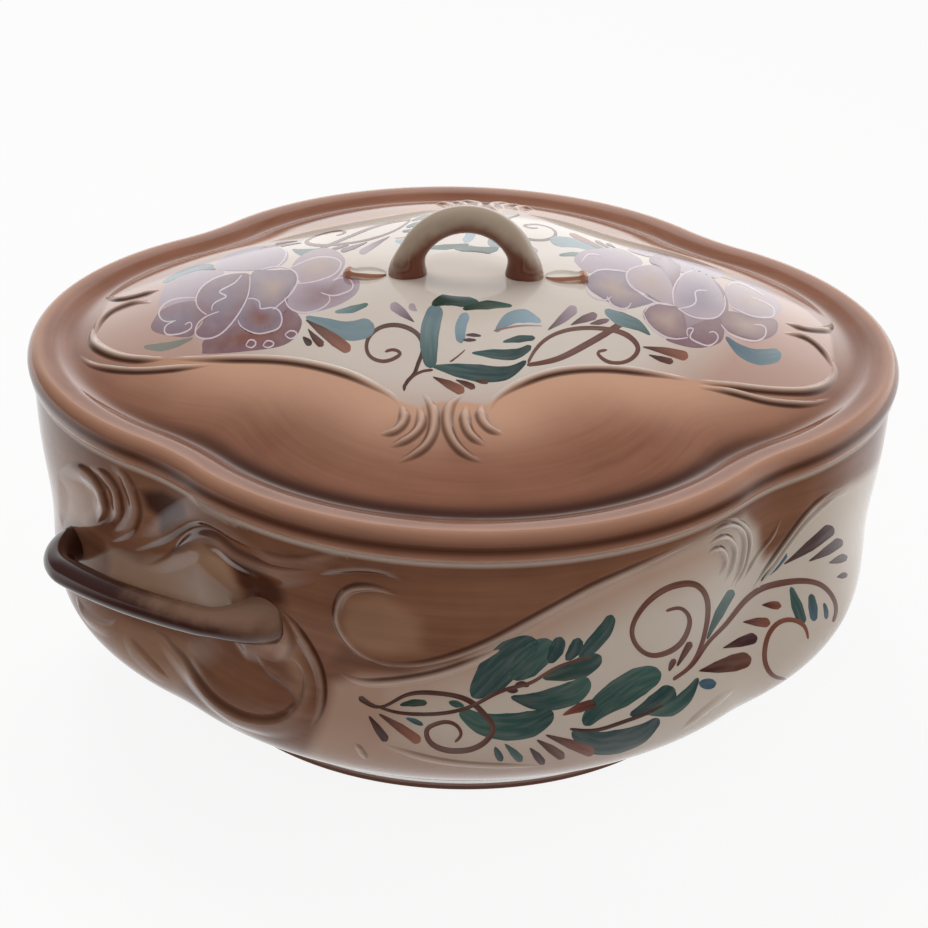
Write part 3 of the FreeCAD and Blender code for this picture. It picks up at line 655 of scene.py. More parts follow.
# How the pot's edge goes on out of the camera's sight: degrees about the axis, height in millimetres.
POT_CREAM_BEYOND = (
    (305, 93), (312, 87), (317, 78), (320, 64), (320, 48), (317, 32), (311, 19), (302, 10), (288, 4),
    (250, 2), (204, 2))

# Where brown was wiped thin over the pot's cream, and dark pools of glaze with painted shade in the
# recesses, with their share of dark.
POT_BLUSH_EDGE = (
    (300, 690), (340, 664), (420, 664), (480, 650), (560, 606), (640, 570), (700, 548), (716, 552),
    (640, 590), (560, 632), (470, 680), (400, 700), (395, 740), (470, 762), (560, 762), (620, 756),
    (600, 772), (450, 780), (330, 772))
POT_POOLS_AND_SHADE = (
    (0.95, ((140, 490), (163, 490), (185, 503), (192, 517), (176, 528), (165, 533), (160, 519),
            (147, 508))),
    (0.9, ((178, 551), (185, 535), (203, 527), (221, 535), (214, 537), (199, 537), (185, 548))),
    (0.85, ((230, 552), (261, 566), (279, 580), (286, 604), (270, 607), (254, 600), (238, 582))),
    (0.5, ((88, 521), (105, 510), (118, 519), (130, 519), (125, 528), (109, 533))),
    (0.4, ((330, 665), (400, 672), (460, 660), (420, 664), (360, 655), (345, 645))),
)
# Milky patches of thin glaze with a painted sheen on the pot, with their share.
POT_THIN_AND_SHEEN = (
    (0.85, ((108, 545), (140, 562), (178, 556), (205, 545), (225, 560), (238, 585), (242, 602),
           (225, 608), (184, 600), (143, 590), (110, 575))),
    (0.7, ((62, 482), (80, 475), (98, 490), (101, 510), (92, 525), (72, 527), (60, 512))),
    (0.5, ((84, 606), (130, 622), (190, 642), (200, 672), (180, 692), (140, 672), (100, 642))),
    (0.35, ((340, 640), (345, 600), (380, 595), (420, 620), (420, 650), (375, 655))),
    (0.5, ((246, 610), (270, 614), (289, 634), (300, 660), (308, 692), (297, 692), (287, 664),
           (266, 652), (246, 646))),
)
# Broad forms of the pot's wall: rise (below zero sunken) and soft width in millimetres, picture edge.
POT_FORMS = (
    (1.6, 7.0, ((196, 655), (200, 680), (214, 704), (236, 722), (262, 726), (284, 718), (294, 700),
                (286, 682), (262, 660), (225, 648))),
    (-0.4, 5.0, ((345, 640), (343, 612), (356, 592), (384, 592), (402, 600), (420, 580), (480, 576),
                 (560, 572), (640, 558), (560, 596), (480, 640), (420, 656), (375, 655))),
    (-1.0, 4.0, ((62, 485), (82, 478), (96, 494), (96, 516), (80, 526), (62, 520))),
    (2.4, 4.0, ((236, 606), (258, 608), (276, 620), (283, 638), (270, 656), (250, 652), (238, 636))),
)

# Brush strokes: colour at the start and at the end, widths in pixels along the stroke, picture points.
LID_TENDRILS = (
    ("bistre", "umber", (3, 4, 4.5, 5, 5, 4.5, 4, 4, 4, 3), (
        (404, 391), (406, 383), (414, 374), (418, 364), (423, 349), (419, 336), (408, 328), (393, 325),
        (376, 330), (367, 342), (369, 355), (380, 361), (393, 359), (400, 353), (395, 350), (385, 352))),
    ("bistre", "umber", (4, 3, 3), ((403, 388), (411, 378), (424, 371), (433, 370))),
    ("umber", "umber", (4, 6, 7, 7, 7), ((527, 365), (557, 359), (582, 347), (608, 332), (628, 319))),
    ("umber", "umber", (3, 4, 4, 4.5, 4.5, 5, 6, 5, 4, 4, 3), (
        (528, 363), (532, 355), (545, 340), (564, 331), (587, 328), (612, 330), (631, 338), (638, 349),
        (631, 359), (616, 363), (603, 359), (598, 353), (607, 350))),
)
LID_LEAVES = (
    ("mist", "mist", (4, 15, 21, 22), ((306, 317), (327, 325), (350, 331), (374, 325))),
    ("mist", "sage", (3, 8, 4), ((335, 312), (353, 309), (368, 304))),
    ("reed", "reed", (4, 9, 7, 2), ((144, 347), (162, 347), (179, 343), (193, 338))),
    ("teal", "mist", (12, 19, 20, 16), ((431, 368), (429, 343), (433, 318), (438, 305))),
    ("mist", "pale blue", (9, 12, 10), ((461, 343), (461, 326), (467, 313))),
    ("mist", "pale blue", (4, 13, 15, 4), ((496, 332), (505, 322), (519, 316), (541, 322))),
    ("teal", "deep", (2, 14, 19, 15, 4), ((431, 366), (456, 370), (488, 374), (509, 372), (526, 361))),
    ("teal", "deep", (2, 10, 12, 6), ((472, 353), (494, 354), (519, 353), (531, 346))),
    ("teal", "deep", (2, 8, 5), ((503, 342), (519, 339), (535, 338))),
    ("forest", "teal", (6, 14, 14, 5), ((432, 305), (448, 299), (465, 301), (479, 303))),
    ("forest", "sage", (4, 10, 3), ((463, 309), (486, 305), (512, 306))),
    ("plum", "plum", (2, 4, 2), ((466, 335), (473, 335), (481, 336))),
    ("plum", "plum", (2, 4, 2), ((463, 340), (470, 340), (476, 340))),
    ("rose", "lilac", (2, 2, 1), ((494, 331), (519, 326), (542, 326))),
    ("umber", "umber", (2, 1), ((450, 362), (457, 357), (465, 350))),
    ("mist", "teal", (6, 15, 12, 2), ((605, 310), (621, 319), (637, 325), (650, 335))),
    ("blue", "mist", (3, 12, 17, 15), ((726, 337), (740, 350), (759, 357), (781, 354))),
)
LID_DROPS = (
    ("bistre", "rose", (1, 9, 13, 11), ((306, 320), (325, 333), (350, 351))),
    ("plum", "umber", (1, 7, 9), ((308, 329), (315, 338), (323, 346))),
    ("plum", "plum", (2, 7, 8), ((303, 337), (307, 341), (311, 345))),
    ("plum", "lilac", (1, 9, 11), ((414, 322), (403, 313), (391, 304))),
    ("lilac", "haze", (1, 7, 8), ((417, 311), (413, 308), (410, 304))),
    ("plum", "lilac", (1, 9, 12), ((548, 330), (561, 320), (576, 307))),
    ("plum", "mauve", (1, 8, 9), ((571, 325), (584, 319), (597, 315))),
    ("plum", "mauve", (1, 6, 4), ((590, 324), (600, 322), (609, 320))),
    ("bistre", "rose", (1, 9, 11), ((433, 377), (448, 384), (464, 392))),
    ("bistre", "umber", (1, 6, 7), ((456, 380), (466, 384), (475, 388))),
    ("bistre", "umber", (1, 4, 3), ((475, 381), (482, 382), (488, 383))),
    ("bistre", "rose", (1, 8, 11), ((643, 347), (665, 351), (688, 357))),
    ("bistre", "umber", (1, 6, 7), ((649, 355), (661, 359), (673, 362))),
)
# Petals: colour at the heart and at the edge, picture points round the edge.
LID_PETALS = (
    ("slate", "mauve", ((204, 330), (201, 300), (215, 284), (245, 275), (290, 272), (297, 281),
                        (294, 300), (297, 318), (290, 333), (260, 344), (225, 346), (207, 343))),
    ("lilac", "mauve", ((630, 274), (655, 268), (680, 276), (707, 276), (724, 290), (729, 305),
                        (728, 318), (722, 330), (700, 340), (675, 338), (655, 326), (648, 312),
                        (655, 303), (640, 290))),
    ("haze", "haze", ((213, 268), (224, 257), (245, 248), (275, 246), (288, 252), (287, 261), (275, 268),
                      (252, 271), (230, 271))),
    ("haze", "lilac", ((162, 292), (173, 280), (197, 271), (212, 270), (224, 274), (200, 292), (195, 300),
                       (167, 306), (158, 305))),
    ("glow", "lilac", ((291, 270), (299, 257), (317, 249), (333, 249), (345, 259), (342, 271), (332, 280),
                       (308, 284), (297, 279))),
    ("mauve", "lilac", ((287, 299), (299, 282), (332, 280), (347, 270), (357, 275), (360, 286),
                        (354, 296), (339, 305), (320, 311), (299, 313), (288, 307))),
    ("slate", "mauve", ((151, 325), (156, 316), (167, 307), (195, 301), (206, 314), (197, 328),
                        (189, 337), (165, 335), (153, 331))),
    ("rust", "mauve", ((202, 350), (204, 340), (224, 334), (236, 325), (245, 331), (266, 334), (282, 319),
                       (290, 308), (300, 316), (302, 325), (296, 337), (282, 346), (260, 350), (230, 353),
                       (204, 354))),
    ("rust", "slate", ((239, 319), (245, 303), (251, 299), (260, 308), (273, 310), (282, 316), (281, 325),
                       (272, 332), (257, 334), (245, 329))),
    ("glow", "slate", ((251, 274), (267, 270), (290, 270), (297, 277), (294, 287), (284, 299), (273, 310),
                       (260, 308), (251, 299))),
    ("slate", "mauve", ((196, 300), (199, 289), (212, 280), (230, 274), (245, 273), (251, 277),
                        (249, 295), (237, 316), (221, 335), (203, 339), (196, 332), (206, 317))),
    ("haze", "lilac", ((627, 250), (641, 249), (676, 255), (702, 262), (720, 270), (724, 276), (715, 279),
                       (706, 275), (682, 273), (667, 261), (649, 257))),
    ("haze", "lilac", ((574, 259), (580, 252), (595, 249), (618, 248), (633, 254), (643, 263), (627, 271),
                       (603, 270), (588, 273), (577, 265))),
    ("glow", "slate", ((585, 280), (591, 274), (601, 270), (624, 272), (627, 280), (636, 291), (655, 300),
                       (643, 306), (626, 309), (610, 303), (595, 294), (588, 288))),
    ("lilac", "mauve", ((649, 259), (655, 255), (667, 256), (678, 264), (681, 271), (673, 288),
                        (661, 270), (652, 264))),
    ("glow", "lilac", ((727, 284), (741, 280), (759, 285), (774, 296), (782, 308), (777, 316), (767, 318),
                       (751, 315), (733, 307), (725, 294))),
    ("glow", "mauve", ((714, 320), (728, 311), (751, 316), (774, 319), (778, 328), (773, 336), (759, 340),
                       (741, 337), (727, 331))),
    ("mauve", "mauve", ((666, 339), (687, 337), (689, 328), (707, 320), (721, 319), (724, 336),
                        (715, 345), (698, 348), (679, 345))),
    ("glow", "mauve", ((643, 316), (646, 308), (659, 305), (675, 306), (685, 316), (687, 329), (688, 337),
                       (672, 339), (658, 333), (649, 325))),
    ("glow", "lilac", ((627, 277), (627, 271), (641, 266), (655, 265), (666, 274), (674, 290), (674, 303),
                       (664, 304), (646, 294), (630, 285))),
    ("slate", "lilac", ((674, 303), (675, 290), (681, 276), (690, 271), (707, 273), (713, 279),
                        (721, 291), (725, 303), (722, 314), (705, 319), (690, 314), (678, 309))),
)
# Pale lines along the petals, as picture points.
PETAL_LINES = (
    ((245, 273), (230, 274), (212, 280), (200, 290), (196, 301), (200, 310), (207, 315)),
    ((250, 276), (249, 292), (243, 307), (233, 322), (221, 334), (206, 339), (196, 335), (196, 328),
     (203, 319), (219, 312)),
    ((242, 275), (230, 286), (220, 293), (226, 296), (213, 305), (212, 311)),
    ((248, 299), (254, 299), (260, 304), (260, 308), (270, 308), (279, 311), (282, 319), (279, 328),
     (270, 332), (260, 334), (248, 331), (240, 325), (238, 320)),
    ((261, 270), (290, 269), (297, 275), (296, 286), (287, 298), (273, 310)),
    ((291, 268), (312, 259), (332, 258), (341, 263), (338, 271), (327, 278), (308, 283), (297, 284)),
    ((333, 281), (342, 278), (351, 281), (353, 287), (345, 293), (332, 296), (321, 293)),
    ((285, 298), (287, 305), (297, 312), (312, 312), (324, 307), (330, 299), (329, 296)),
    ((195, 298), (177, 299), (164, 305), (159, 314), (162, 320), (176, 321)),
    ((174, 322), (165, 328), (165, 333), (174, 335), (186, 332), (192, 326), (191, 323), (185, 325)),
    ((279, 247), (286, 252), (284, 260), (275, 268)),
    ((586, 279), (597, 271), (610, 270), (627, 272)),
    ((585, 282), (589, 293), (601, 300), (607, 300), (611, 297)),
    ((607, 297), (612, 305), (621, 309), (629, 307), (631, 303)),
    ((652, 265), (637, 267), (627, 273), (627, 280), (637, 291), (649, 299), (661, 304), (675, 306)),
    ((674, 305), (673, 291), (678, 280), (684, 274), (693, 271)),
    ((678, 309), (696, 300), (695, 293), (707, 291)),
    ((678, 309), (690, 316), (704, 319), (719, 316), (725, 306), (724, 296)),
    ((643, 313), (647, 322), (658, 333), (672, 339), (688, 338)),
    ((644, 313), (650, 306), (664, 304), (673, 306)),
    ((688, 337), (688, 329), (693, 329), (690, 336), (698, 343), (708, 346), (716, 342), (718, 337),
     (713, 332), (709, 333)),
    ((721, 325), (727, 332), (741, 339), (757, 341), (765, 336), (765, 328), (754, 325)),
    ((727, 287), (730, 284), (741, 284), (754, 290), (765, 297)),
    ((731, 307), (748, 315), (764, 318), (774, 315), (774, 311), (765, 303), (751, 298)),
    ((581, 263), (588, 255), (600, 256)),
    ((285, 335), (292, 331), (297, 334), (291, 339), (285, 335)),
    ((246, 346), (251, 340), (256, 343), (252, 348), (246, 346)),
    ((263, 346), (268, 341), (274, 344), (268, 348), (263, 346)),
)
POT_TENDRILS = (
    ("bistre", "umber", (7, 3, 4, 5, 5, 6, 6, 6, 6, 6, 5, 4, 3), (
        (359, 697), (379, 707), (404, 696), (434, 693), (456, 696), (471, 702), (485, 715), (493, 728),
        (487, 740), (472, 749), (456, 751), (439, 748), (428, 739), (427, 730), (436, 724), (448, 722),
        (458, 727), (461, 734), (455, 742))),
    ("bistre", "umber", (3, 4, 4, 4, 4, 3, 2), (
        (379, 707), (391, 711), (413, 714), (434, 714), (456, 711), (474, 705), (491, 696), (511, 688),
        (530, 683), (550, 671), (574, 661), (592, 657))),
    ("umber", "umber", (3, 4, 5, 6, 7, 6, 5, 5, 6, 5, 3), (
        (673, 679), (689, 667), (699, 651), (705, 632), (708, 609), (705, 594), (696, 585), (682, 584),
        (666, 589), (650, 600), (637, 616), (632, 632), (637, 646), (650, 655), (666, 653), (680, 644),
        (688, 630), (689, 617), (682, 609), (666, 611))),
    ("umber", "umber", (3, 4, 4, 5, 6, 7, 6, 5, 3), (
        (673, 680), (693, 664), (707, 644), (725, 625), (743, 603), (761, 589), (782, 583), (805, 581),
        (821, 585), (832, 596), (836, 609), (833, 622))),
    ("rust", "umber", (2, 5, 5, 5, 5, 5, 3), (
        (808, 639), (804, 626), (793, 620), (780, 622), (770, 632), (765, 648), (766, 665), (774, 676),
        (786, 679))),
    ("bistre", "bistre", (3, 4, 4, 3), ((570, 729), (596, 730), (620, 723), (645, 714), (663, 705))),
)
POT_LEAVES = (
    ("pine", "pine", (14, 37, 38, 20), ((472, 697), (495, 673), (516, 654), (537, 641))),
    ("pine", "moss", (12, 30, 30, 18), ((512, 679), (528, 663), (545, 648), (553, 642))),
    ("deep", "pine", (8, 16, 13), ((549, 663), (558, 646), (561, 637))),
    ("deep", "pine", (7, 14, 12), ((566, 660), (577, 645), (579, 638))),
    ("pine", "pine", (9, 16, 16, 10), ((580, 659), (596, 641), (607, 627), (612, 615))),
    ("forest", "pine", (5, 18, 22, 13), ((543, 678), (570, 671), (589, 664), (601, 656))),
    ("deep", "moss", (4, 17, 24, 25, 15), ((511, 697), (533, 701), (561, 697), (580, 688), (588, 678))),
    ("moss", "pine", (10, 23, 29, 28, 15), ((460, 710), (478, 722), (506, 727), (533, 723), (553, 712))),
    ("forest", "forest", (3, 8, 6), ((400, 705), (413, 703), (427, 703))),
    ("pine", "moss", (4, 8, 3), ((449, 702), (456, 704), (464, 706))),
    ("blue", "pine", (2, 6, 4), ((406, 718), (414, 721), (423, 725))),
    ("bistre", "plum", (3, 8, 4), ((506, 690), (512, 690), (518, 691))),
    ("bistre", "plum", (3, 7, 4), ((515, 685), (522, 684), (529, 686))),
    ("pine", "moss", (11, 23, 31, 30, 18), ((584, 725), (601, 706), (622, 692), (644, 679), (661, 673))),
    ("deep", "pine", (5, 20, 20), ((630, 715), (653, 705), (674, 688))),
    ("moss", "pine", (3, 17, 14, 4), ((648, 714), (675, 706), (689, 693), (698, 678))),
    ("pine", "deep", (9, 24, 25, 20, 8), ((572, 732), (596, 743), (620, 741), (642, 733), (659, 719))),
    ("pine", "blue", (2, 9, 8), ((761, 581), (773, 568), (786, 553))),
    ("pine", "moss", (2, 10, 9), ((707, 639), (719, 614), (733, 590))),
    ("moss", "pine", (4, 12, 10), ((791, 587), (797, 606), (803, 624))),
    ("pine", "blue", (6, 10, 7), ((811, 594), (813, 608), (814, 621))),
    ("pine", "blue", (3, 5, 4), ((824, 603), (826, 611), (826, 619))),
    ("blue", "blue", (7, 12, 9), ((699, 683), (707, 684), (716, 683))),
    ("pine", "deep", (3, 8, 7), ((495, 747), (498, 754), (502, 761))),
    ("pine", "moss", (2, 8, 9), ((505, 744), (513, 752), (522, 761))),
)
POT_DROPS = (
    ("bistre", "plum", (2, 8, 9), ((369, 716), (378, 729), (387, 741))),
    ("bistre", "rose", (2, 9, 11), ((379, 714), (399, 727), (420, 742))),
    ("rust", "bistre", (2, 10, 10), ((563, 715), (579, 708), (596, 703))),
    ("bistre", "plum", (2, 8, 8), ((530, 748), (537, 756), (544, 764))),
    ("bistre", "umber", (2, 9, 10), ((537, 740), (551, 749), (564, 758))),
    ("bistre", "rust", (2, 10, 12), ((546, 735), (570, 744), (594, 753))),
    ("bistre", "umber", (2, 6, 8), ((677, 666), (684, 654), (691, 642))),
    ("bistre", "umber", (2, 6, 6), ((669, 671), (672, 664), (675, 659))),
    ("bistre", "umber", (1, 12, 18, 16), ((699, 671), (726, 665), (751, 658))),
    ("bistre", "plum", (1, 10, 13), ((723, 648), (741, 642), (757, 637))),
    ("bistre", "rust", (1, 9, 11), ((743, 622), (757, 622), (770, 623))),
    ("bistre", "rust", (1, 8, 9), ((762, 605), (772, 605), (781, 606))),
    ("bistre", "plum", (1, 11, 14), ((784, 564), (810, 546), (833, 527))),
    ("bistre", "plum", (1, 9, 11), ((809, 561), (827, 551), (842, 540))),
    ("plum", "plum", (1, 8, 9), ((829, 563), (838, 560), (847, 556))),
    ("plum", "plum", (1, 6, 6), ((837, 577), (842, 576), (847, 574))),
)

# How far paint stands off the glaze, for each layer of strokes, and how deep a stroke is rooted.
PAINT_LAYER, PAINT_STEP, PAINT_ROOT = 0.05, 0.002, 0.2
# In pixels: spacing of points along a stroke, widths of a pale line, and streaks of the hairs along a
# stroke, across it and in a petal. The last number sets the streaks of each stroke apart.
STROKE_SPACING, LINE_WIDTHS = 2.2, (1.0, 1.6, 1.6, 1.0)
HAIRS_LONG, HAIRS_FINE, HAIRS_PETAL, HAIRS_APART = 40, 5, 14, 3.7
PETAL_COLUMNS = 48


def stroke_pixels(points, widths):
    """Closed section carried along a stroke in the picture, with round ends.

    Across the stroke the section runs over the top from left to right and back underneath. Its half
    width follows the given widths and rounds off as a half circle towards both ends.
    """
    path, step = curve(points, STROKE_SPACING)
    count = len(path)
    way = np.gradient(path, axis=0)
    way /= np.linalg.norm(way, axis=1, keepdims=True)
    left = np.stack((way[:, 1], -way[:, 0]), axis=-1)
    half = along(widths, count) / 2
    run = np.minimum(np.arange(count), np.arange(count)[::-1]) * step + 0.15
    half = half * np.sqrt(1 - (1 - np.minimum(run / np.maximum(half, 0.3), 1)) ** 2)
    across = np.array((1, 0.9, 0.45, 0, -0.45, -0.9, -1, -0.5, 0.5))
    lift = np.array((-0.05, 1, 1, 1, 1, 1, -0.05, None, None), float)
    pixels = path[:, None] + left[:, None] * (half[:, None] * across)[..., None]
    share = np.broadcast_to(np.linspace(0, 1, count)[:, None], pixels.shape[:2])
    brush = np.stack((share * count * step / HAIRS_LONG, half[:, None] * across / HAIRS_FINE,
                      0 * share), axis=-1)
    return pixels, np.broadcast_to(lift, pixels.shape[:2]), share, brush


def petal_pixels(points):
    """Closed petal in the picture: rings of its smooth edge, drawn in towards its middle."""
    points = np.asarray(points, float)
    turn = np.roll(points, -1, axis=0)
    if np.sum(points[:, 0] * turn[:, 1] - points[:, 1] * turn[:, 0]) > 0:
        points = points[::-1]
    count = len(points)
    ring = spline(np.arange(-3, count + 4), points[np.arange(-3, count + 4) % count],
                  np.linspace(0, count, PETAL_COLUMNS, endpoint=False))
    middle = ring.mean(axis=0)
    size = np.array((0.3, 0.95, 1, 0.97, 0.78, 0.56, 0.34, 0.12))
    lift = np.array((None, None, -0.05, 1, 1, 1, 1, 1), float)
    pixels = middle + (ring - middle) * size[:, None, None]
    share = np.broadcast_to(size[:, None], pixels.shape[:2])
    brush = (pixels - middle) / HAIRS_PETAL
    return (pixels, np.broadcast_to(lift[:, None], share.shape), share,
            np.concatenate((brush, 0 * brush[..., :1]), axis=-1))


def strokes(table):
    """Drawings of all brush strokes in a table, which the far side repeats."""
    return [((start, end), True, stroke_pixels(points, widths)) for start, end, widths, points in table]


def painted(name, surface, drawings, material, body):
    """All brush strokes of a surface as one piece: drawings are (colours, repeat, picture grids)."""
    flat = [pixels.reshape(-1, 2) for _, _, (pixels, _, _, _) in drawings]
    columns, rows = surface.under(np.concatenate(flat))
    cuts = np.cumsum([len(part) for part in flat])[:-1]
    grids, facing, pigment, brushes = [], [], [], []
    for order, ((colours, repeat, (pixels, lift, share, brush)), column, row) in enumerate(
            zip(drawings, np.split(columns, cuts), np.split(rows, cuts))):
        column, row = column.reshape(lift.shape), row.reshape(lift.shape)
        layer = PAINT_LAYER + PAINT_STEP * order
        lift = np.where(np.isnan(lift), -PAINT_ROOT, np.where(lift > 0, layer, lift))
        start, end = (np.array(linear(PIGMENTS[colour])) for colour in colours)
        for turn in (0, surface.half) if repeat else (0,):
            grids.append(surface.at(column + turn, row, lift))
            facing.append(sample(surface.normal, column + turn, row))
            pigment.append(start * (1 - share[..., None]) + end * share[..., None])
            brushes.append(brush + (order * HAIRS_APART, turn, 0))
    make_piece(name, grids, {"pigment": pigment, "brush": brushes}, material, body, facing=facing)


# Section of a raised scroll: points over its top, pixels between points along it, depth of its root and
# of its edge under the glaze in millimetres.
RIDGE_COLUMNS, RIDGE_SPACING, RIDGE_ROOT, RIDGE_SUNK = 15, 1.6, 0.5, 0.04
# As shares of its half width: place and soft width of the dark glaze and painted shade, soft width of
# the pale crest and painted highlight.
DARK_PLACE, DARK_SOFT, CREST_SOFT = 0.6, 0.27, 0.22


def scrolls(name, surface, marks, ridges, material, body):
    """Raised scrolls of a surface as one piece.

    Each is a bell-shaped section (a squared cosine) carried along its curve, lower and narrower
    towards its ends, with its edge just under the glaze. It takes the marks of the glaze that it
    stands on, with dark pooled glaze and painted shade on either side and a pale crest with a painted
    highlight.
    """
    across = np.concatenate((np.linspace(1, -1, RIDGE_COLUMNS), (-0.6, 0.6)))
    over, inner = slice(RIDGE_COLUMNS), slice(1, RIDGE_COLUMNS - 1)
    buried = np.arange(len(across)) >= RIDGE_COLUMNS
    grids, facing, fields = [], [], {mark: [] for mark in marks}
    for rise, half, dark_left, dark_right, pale_highlight, repeat, points in ridges.values():
        path, _ = curve(points, RIDGE_SPACING)
        column, row = surface.follow(path)
        share = np.linspace(0, 1, len(path))
        taper = ease(-0.02, 0.3, np.minimum(share, 1 - share))[:, None]
        width = np.where(across > 0, *np.broadcast_to(half, 2))
        columns, rows = surface.beside(column, row, width * across * (0.5 + 0.5 * taper))
        section = rise * np.cos(np.pi / 2 * across) ** 2 * taper
        lift = np.where(buried, -RIDGE_ROOT, section - RIDGE_SUNK)
        # Painted shade with pooled glaze beside the scroll, and a painted highlight on its crest.
        added = {"pool_and_shade": taper * (dark_left * bell(across - DARK_PLACE, DARK_SOFT)
                                  + dark_right * bell(across + DARK_PLACE, DARK_SOFT)),
                 "crest_and_highlight": taper * pale_highlight * bell(across, CREST_SOFT)}
        for turn in (0, surface.half) if repeat else (0,):
            grids.append(surface.at(columns + turn, rows, lift))
            facing.append(sample(surface.normal, columns + turn, rows))
            ridge = grids[-1][:, over]
            crown = np.cross(np.gradient(ridge, axis=1), np.gradient(ridge, axis=0))
            crown *= np.sign(np.sum(crown * facing[-1][:, over], axis=-1, keepdims=True))
            crown /= np.linalg.norm(crown, axis=-1, keepdims=True)
            facing[-1][:, inner] = crown[:, inner]
            for mark, field in marks.items():
                wide = field if field.ndim == 3 else field[..., None]
                value = sample(wide, columns + turn, rows)
                value = value if field.ndim == 3 else value[..., 0]
                fields[mark].append(np.maximum(value, added[mark]) if mark in added else value)
    make_piece(name, grids, fields, material, body, facing=facing)


def inside_edge(points, edge):
    """Signed distance of flat points from a closed edge, above zero inside it.

    The distance is to the nearest stretch of the edge, and a point is inside when a level line
    from it crosses the edge an odd number of times.
    """
    start, end = edge, np.roll(edge, -1, axis=0)
    way = end - start
    best = np.full(len(points), np.inf)
    odd = np.zeros(len(points), bool)
    for a, b, w in zip(start, end, way):
        offset = points - a
        share = np.clip(offset @ w / max(w @ w, 1e-9), 0, 1)
        best = np.minimum(best, np.linalg.norm(offset - share[:, None] * w, axis=1))
        spans = (a[1] > points[:, 1]) != (b[1] > points[:, 1])
        height = w[1] if abs(w[1]) > 1e-9 else 1e-9
        odd ^= spans & (offset[:, 0] < offset[:, 1] / height * w[0])
    return np.where(odd, best, -best)


def brush_mark(grid, long, fine):
    """Place for streaks that run round the object: drawn out along the columns, fine along the rows."""
    angle = full_turn(grid.shape[1])
    step = np.linalg.norm(np.diff(grid, axis=0, prepend=grid[:1]), axis=-1)
    run = np.cumsum(step, axis=0)
    radius = np.linalg.norm(grid[..., :2], axis=-1).max()
    return np.stack((np.cos(angle) * radius / long + 0 * run, np.sin(angle) * radius / long + 0 * run,
                     run / fine), axis=-1)


# The pot's wall rolled out flat: its middle radius and the spacing of its rows.
WALL_RADIUS, WALL_PITCH = 130, 1.35
# Streaks of brown slip in millimetres: how long, how fine on the lid, how fine on the pot.
STREAKS_LONG, STREAKS_LID, STREAKS_POT = 55, 2.2, 3.0


def wall_field(surface, points, soft, beyond=()):
    """Share of each point of the pot's wall inside a picture edge, and inside its copy on the far side.

    The wall and the edge are rolled out flat at a middle radius, and the share fades over a soft
    width. Out of the camera's sight the edge goes on by degrees about the axis and heights.
    """
    grid = surface.grid
    column, row = surface.under(points)
    if beyond:
        turn, height = np.transpose(beyond)
        levels = np.arange(surface.rows.start, surface.rows.stop)
        column = np.append(column, turn / 360 * grid.shape[1])
        row = np.append(row, np.interp(height, grid[levels, 0, 2], levels))
    centre = column.mean()
    columns, rows = np.meshgrid(np.arange(grid.shape[1]), np.arange(len(grid)))
    pitch, rise = WALL_RADIUS * 2 * np.pi / grid.shape[1], WALL_PITCH
    edge = np.stack(((column - centre) * pitch, row * rise), axis=-1)
    share = np.zeros(grid.shape[:2])
    for turn in (0, surface.half):
        across = (columns - centre - turn + surface.half) % grid.shape[1] - surface.half
        flat = np.stack((across * pitch, rows * rise), axis=-1).reshape(-1, 2)
        share = np.maximum(share, ease(-soft, soft, inside_edge(flat, edge).reshape(share.shape)))
    return share * ((rows >= surface.rows.start) & (rows < surface.rows.stop))


def lid_marks(surface, first):
    """Cream inside the scrolled field of the lid, dark pooled glaze and painted shade in the groove and on
    the roll's face, and thin brown with a painted sheen and highlight.

    The first row that is given is the lowest of the roll, and all rows before it lie underneath.
    """
    grid = surface.grid
    column, row = surface.under(LID_CREAM_EDGE)
    front = sample(grid, column, row)[:, :2]
    upper = np.arange(len(grid))[:, None] >= first
    flat = grid[..., :2].reshape(-1, 2)
    within = inside_edge(flat, np.concatenate((front, -front))).reshape(grid.shape[:2])
    cream = np.where(upper, ease(-0.8, 0.8, within), HOLLOW_CREAM)
    radius = np.linalg.norm(grid[..., :2], axis=-1)
    depth = lobed_radius(full_turn(grid.shape[1]), *EDGE) - radius
    # The brown is thin beside the cream, where a sheen is painted in too, and along the top of the roll,
    # where a highlight is painted in.
    thin_and_sheen = 0.9 * ease(-36, -2, within) * ease(132, 88, radius) + 0.45 * bell(depth - 3.0, 2.4)
    # Painted shade with pooled glaze in the groove, most on the front lobe, and on the face of the roll.
    front_lobe = -(grid[..., :2] @ (1, 1)) / np.maximum(radius, 1) / np.sqrt(2)
    in_groove = depth - GROOVE_INSET - 0.8
    groove = bell(in_groove, np.where(in_groove < 0, 5.0, 3.2)) * (0.12 + 0.83 * ease(0.3, 0.9, front_lobe))
    pool_and_shade = groove + 0.88 * bell(grid[..., 2] - RIM - 4.4, 2.2) * ease(4.0, 1.0, depth)
    return {"cream": cream, "blush": ease(66, 108, radius), "thin_and_sheen": thin_and_sheen, "pool_and_shade": pool_and_shade * upper,
            "crest_and_highlight": 0 * cream, "bare": 0 * cream, "brush": brush_mark(grid, STREAKS_LONG, STREAKS_LID)}


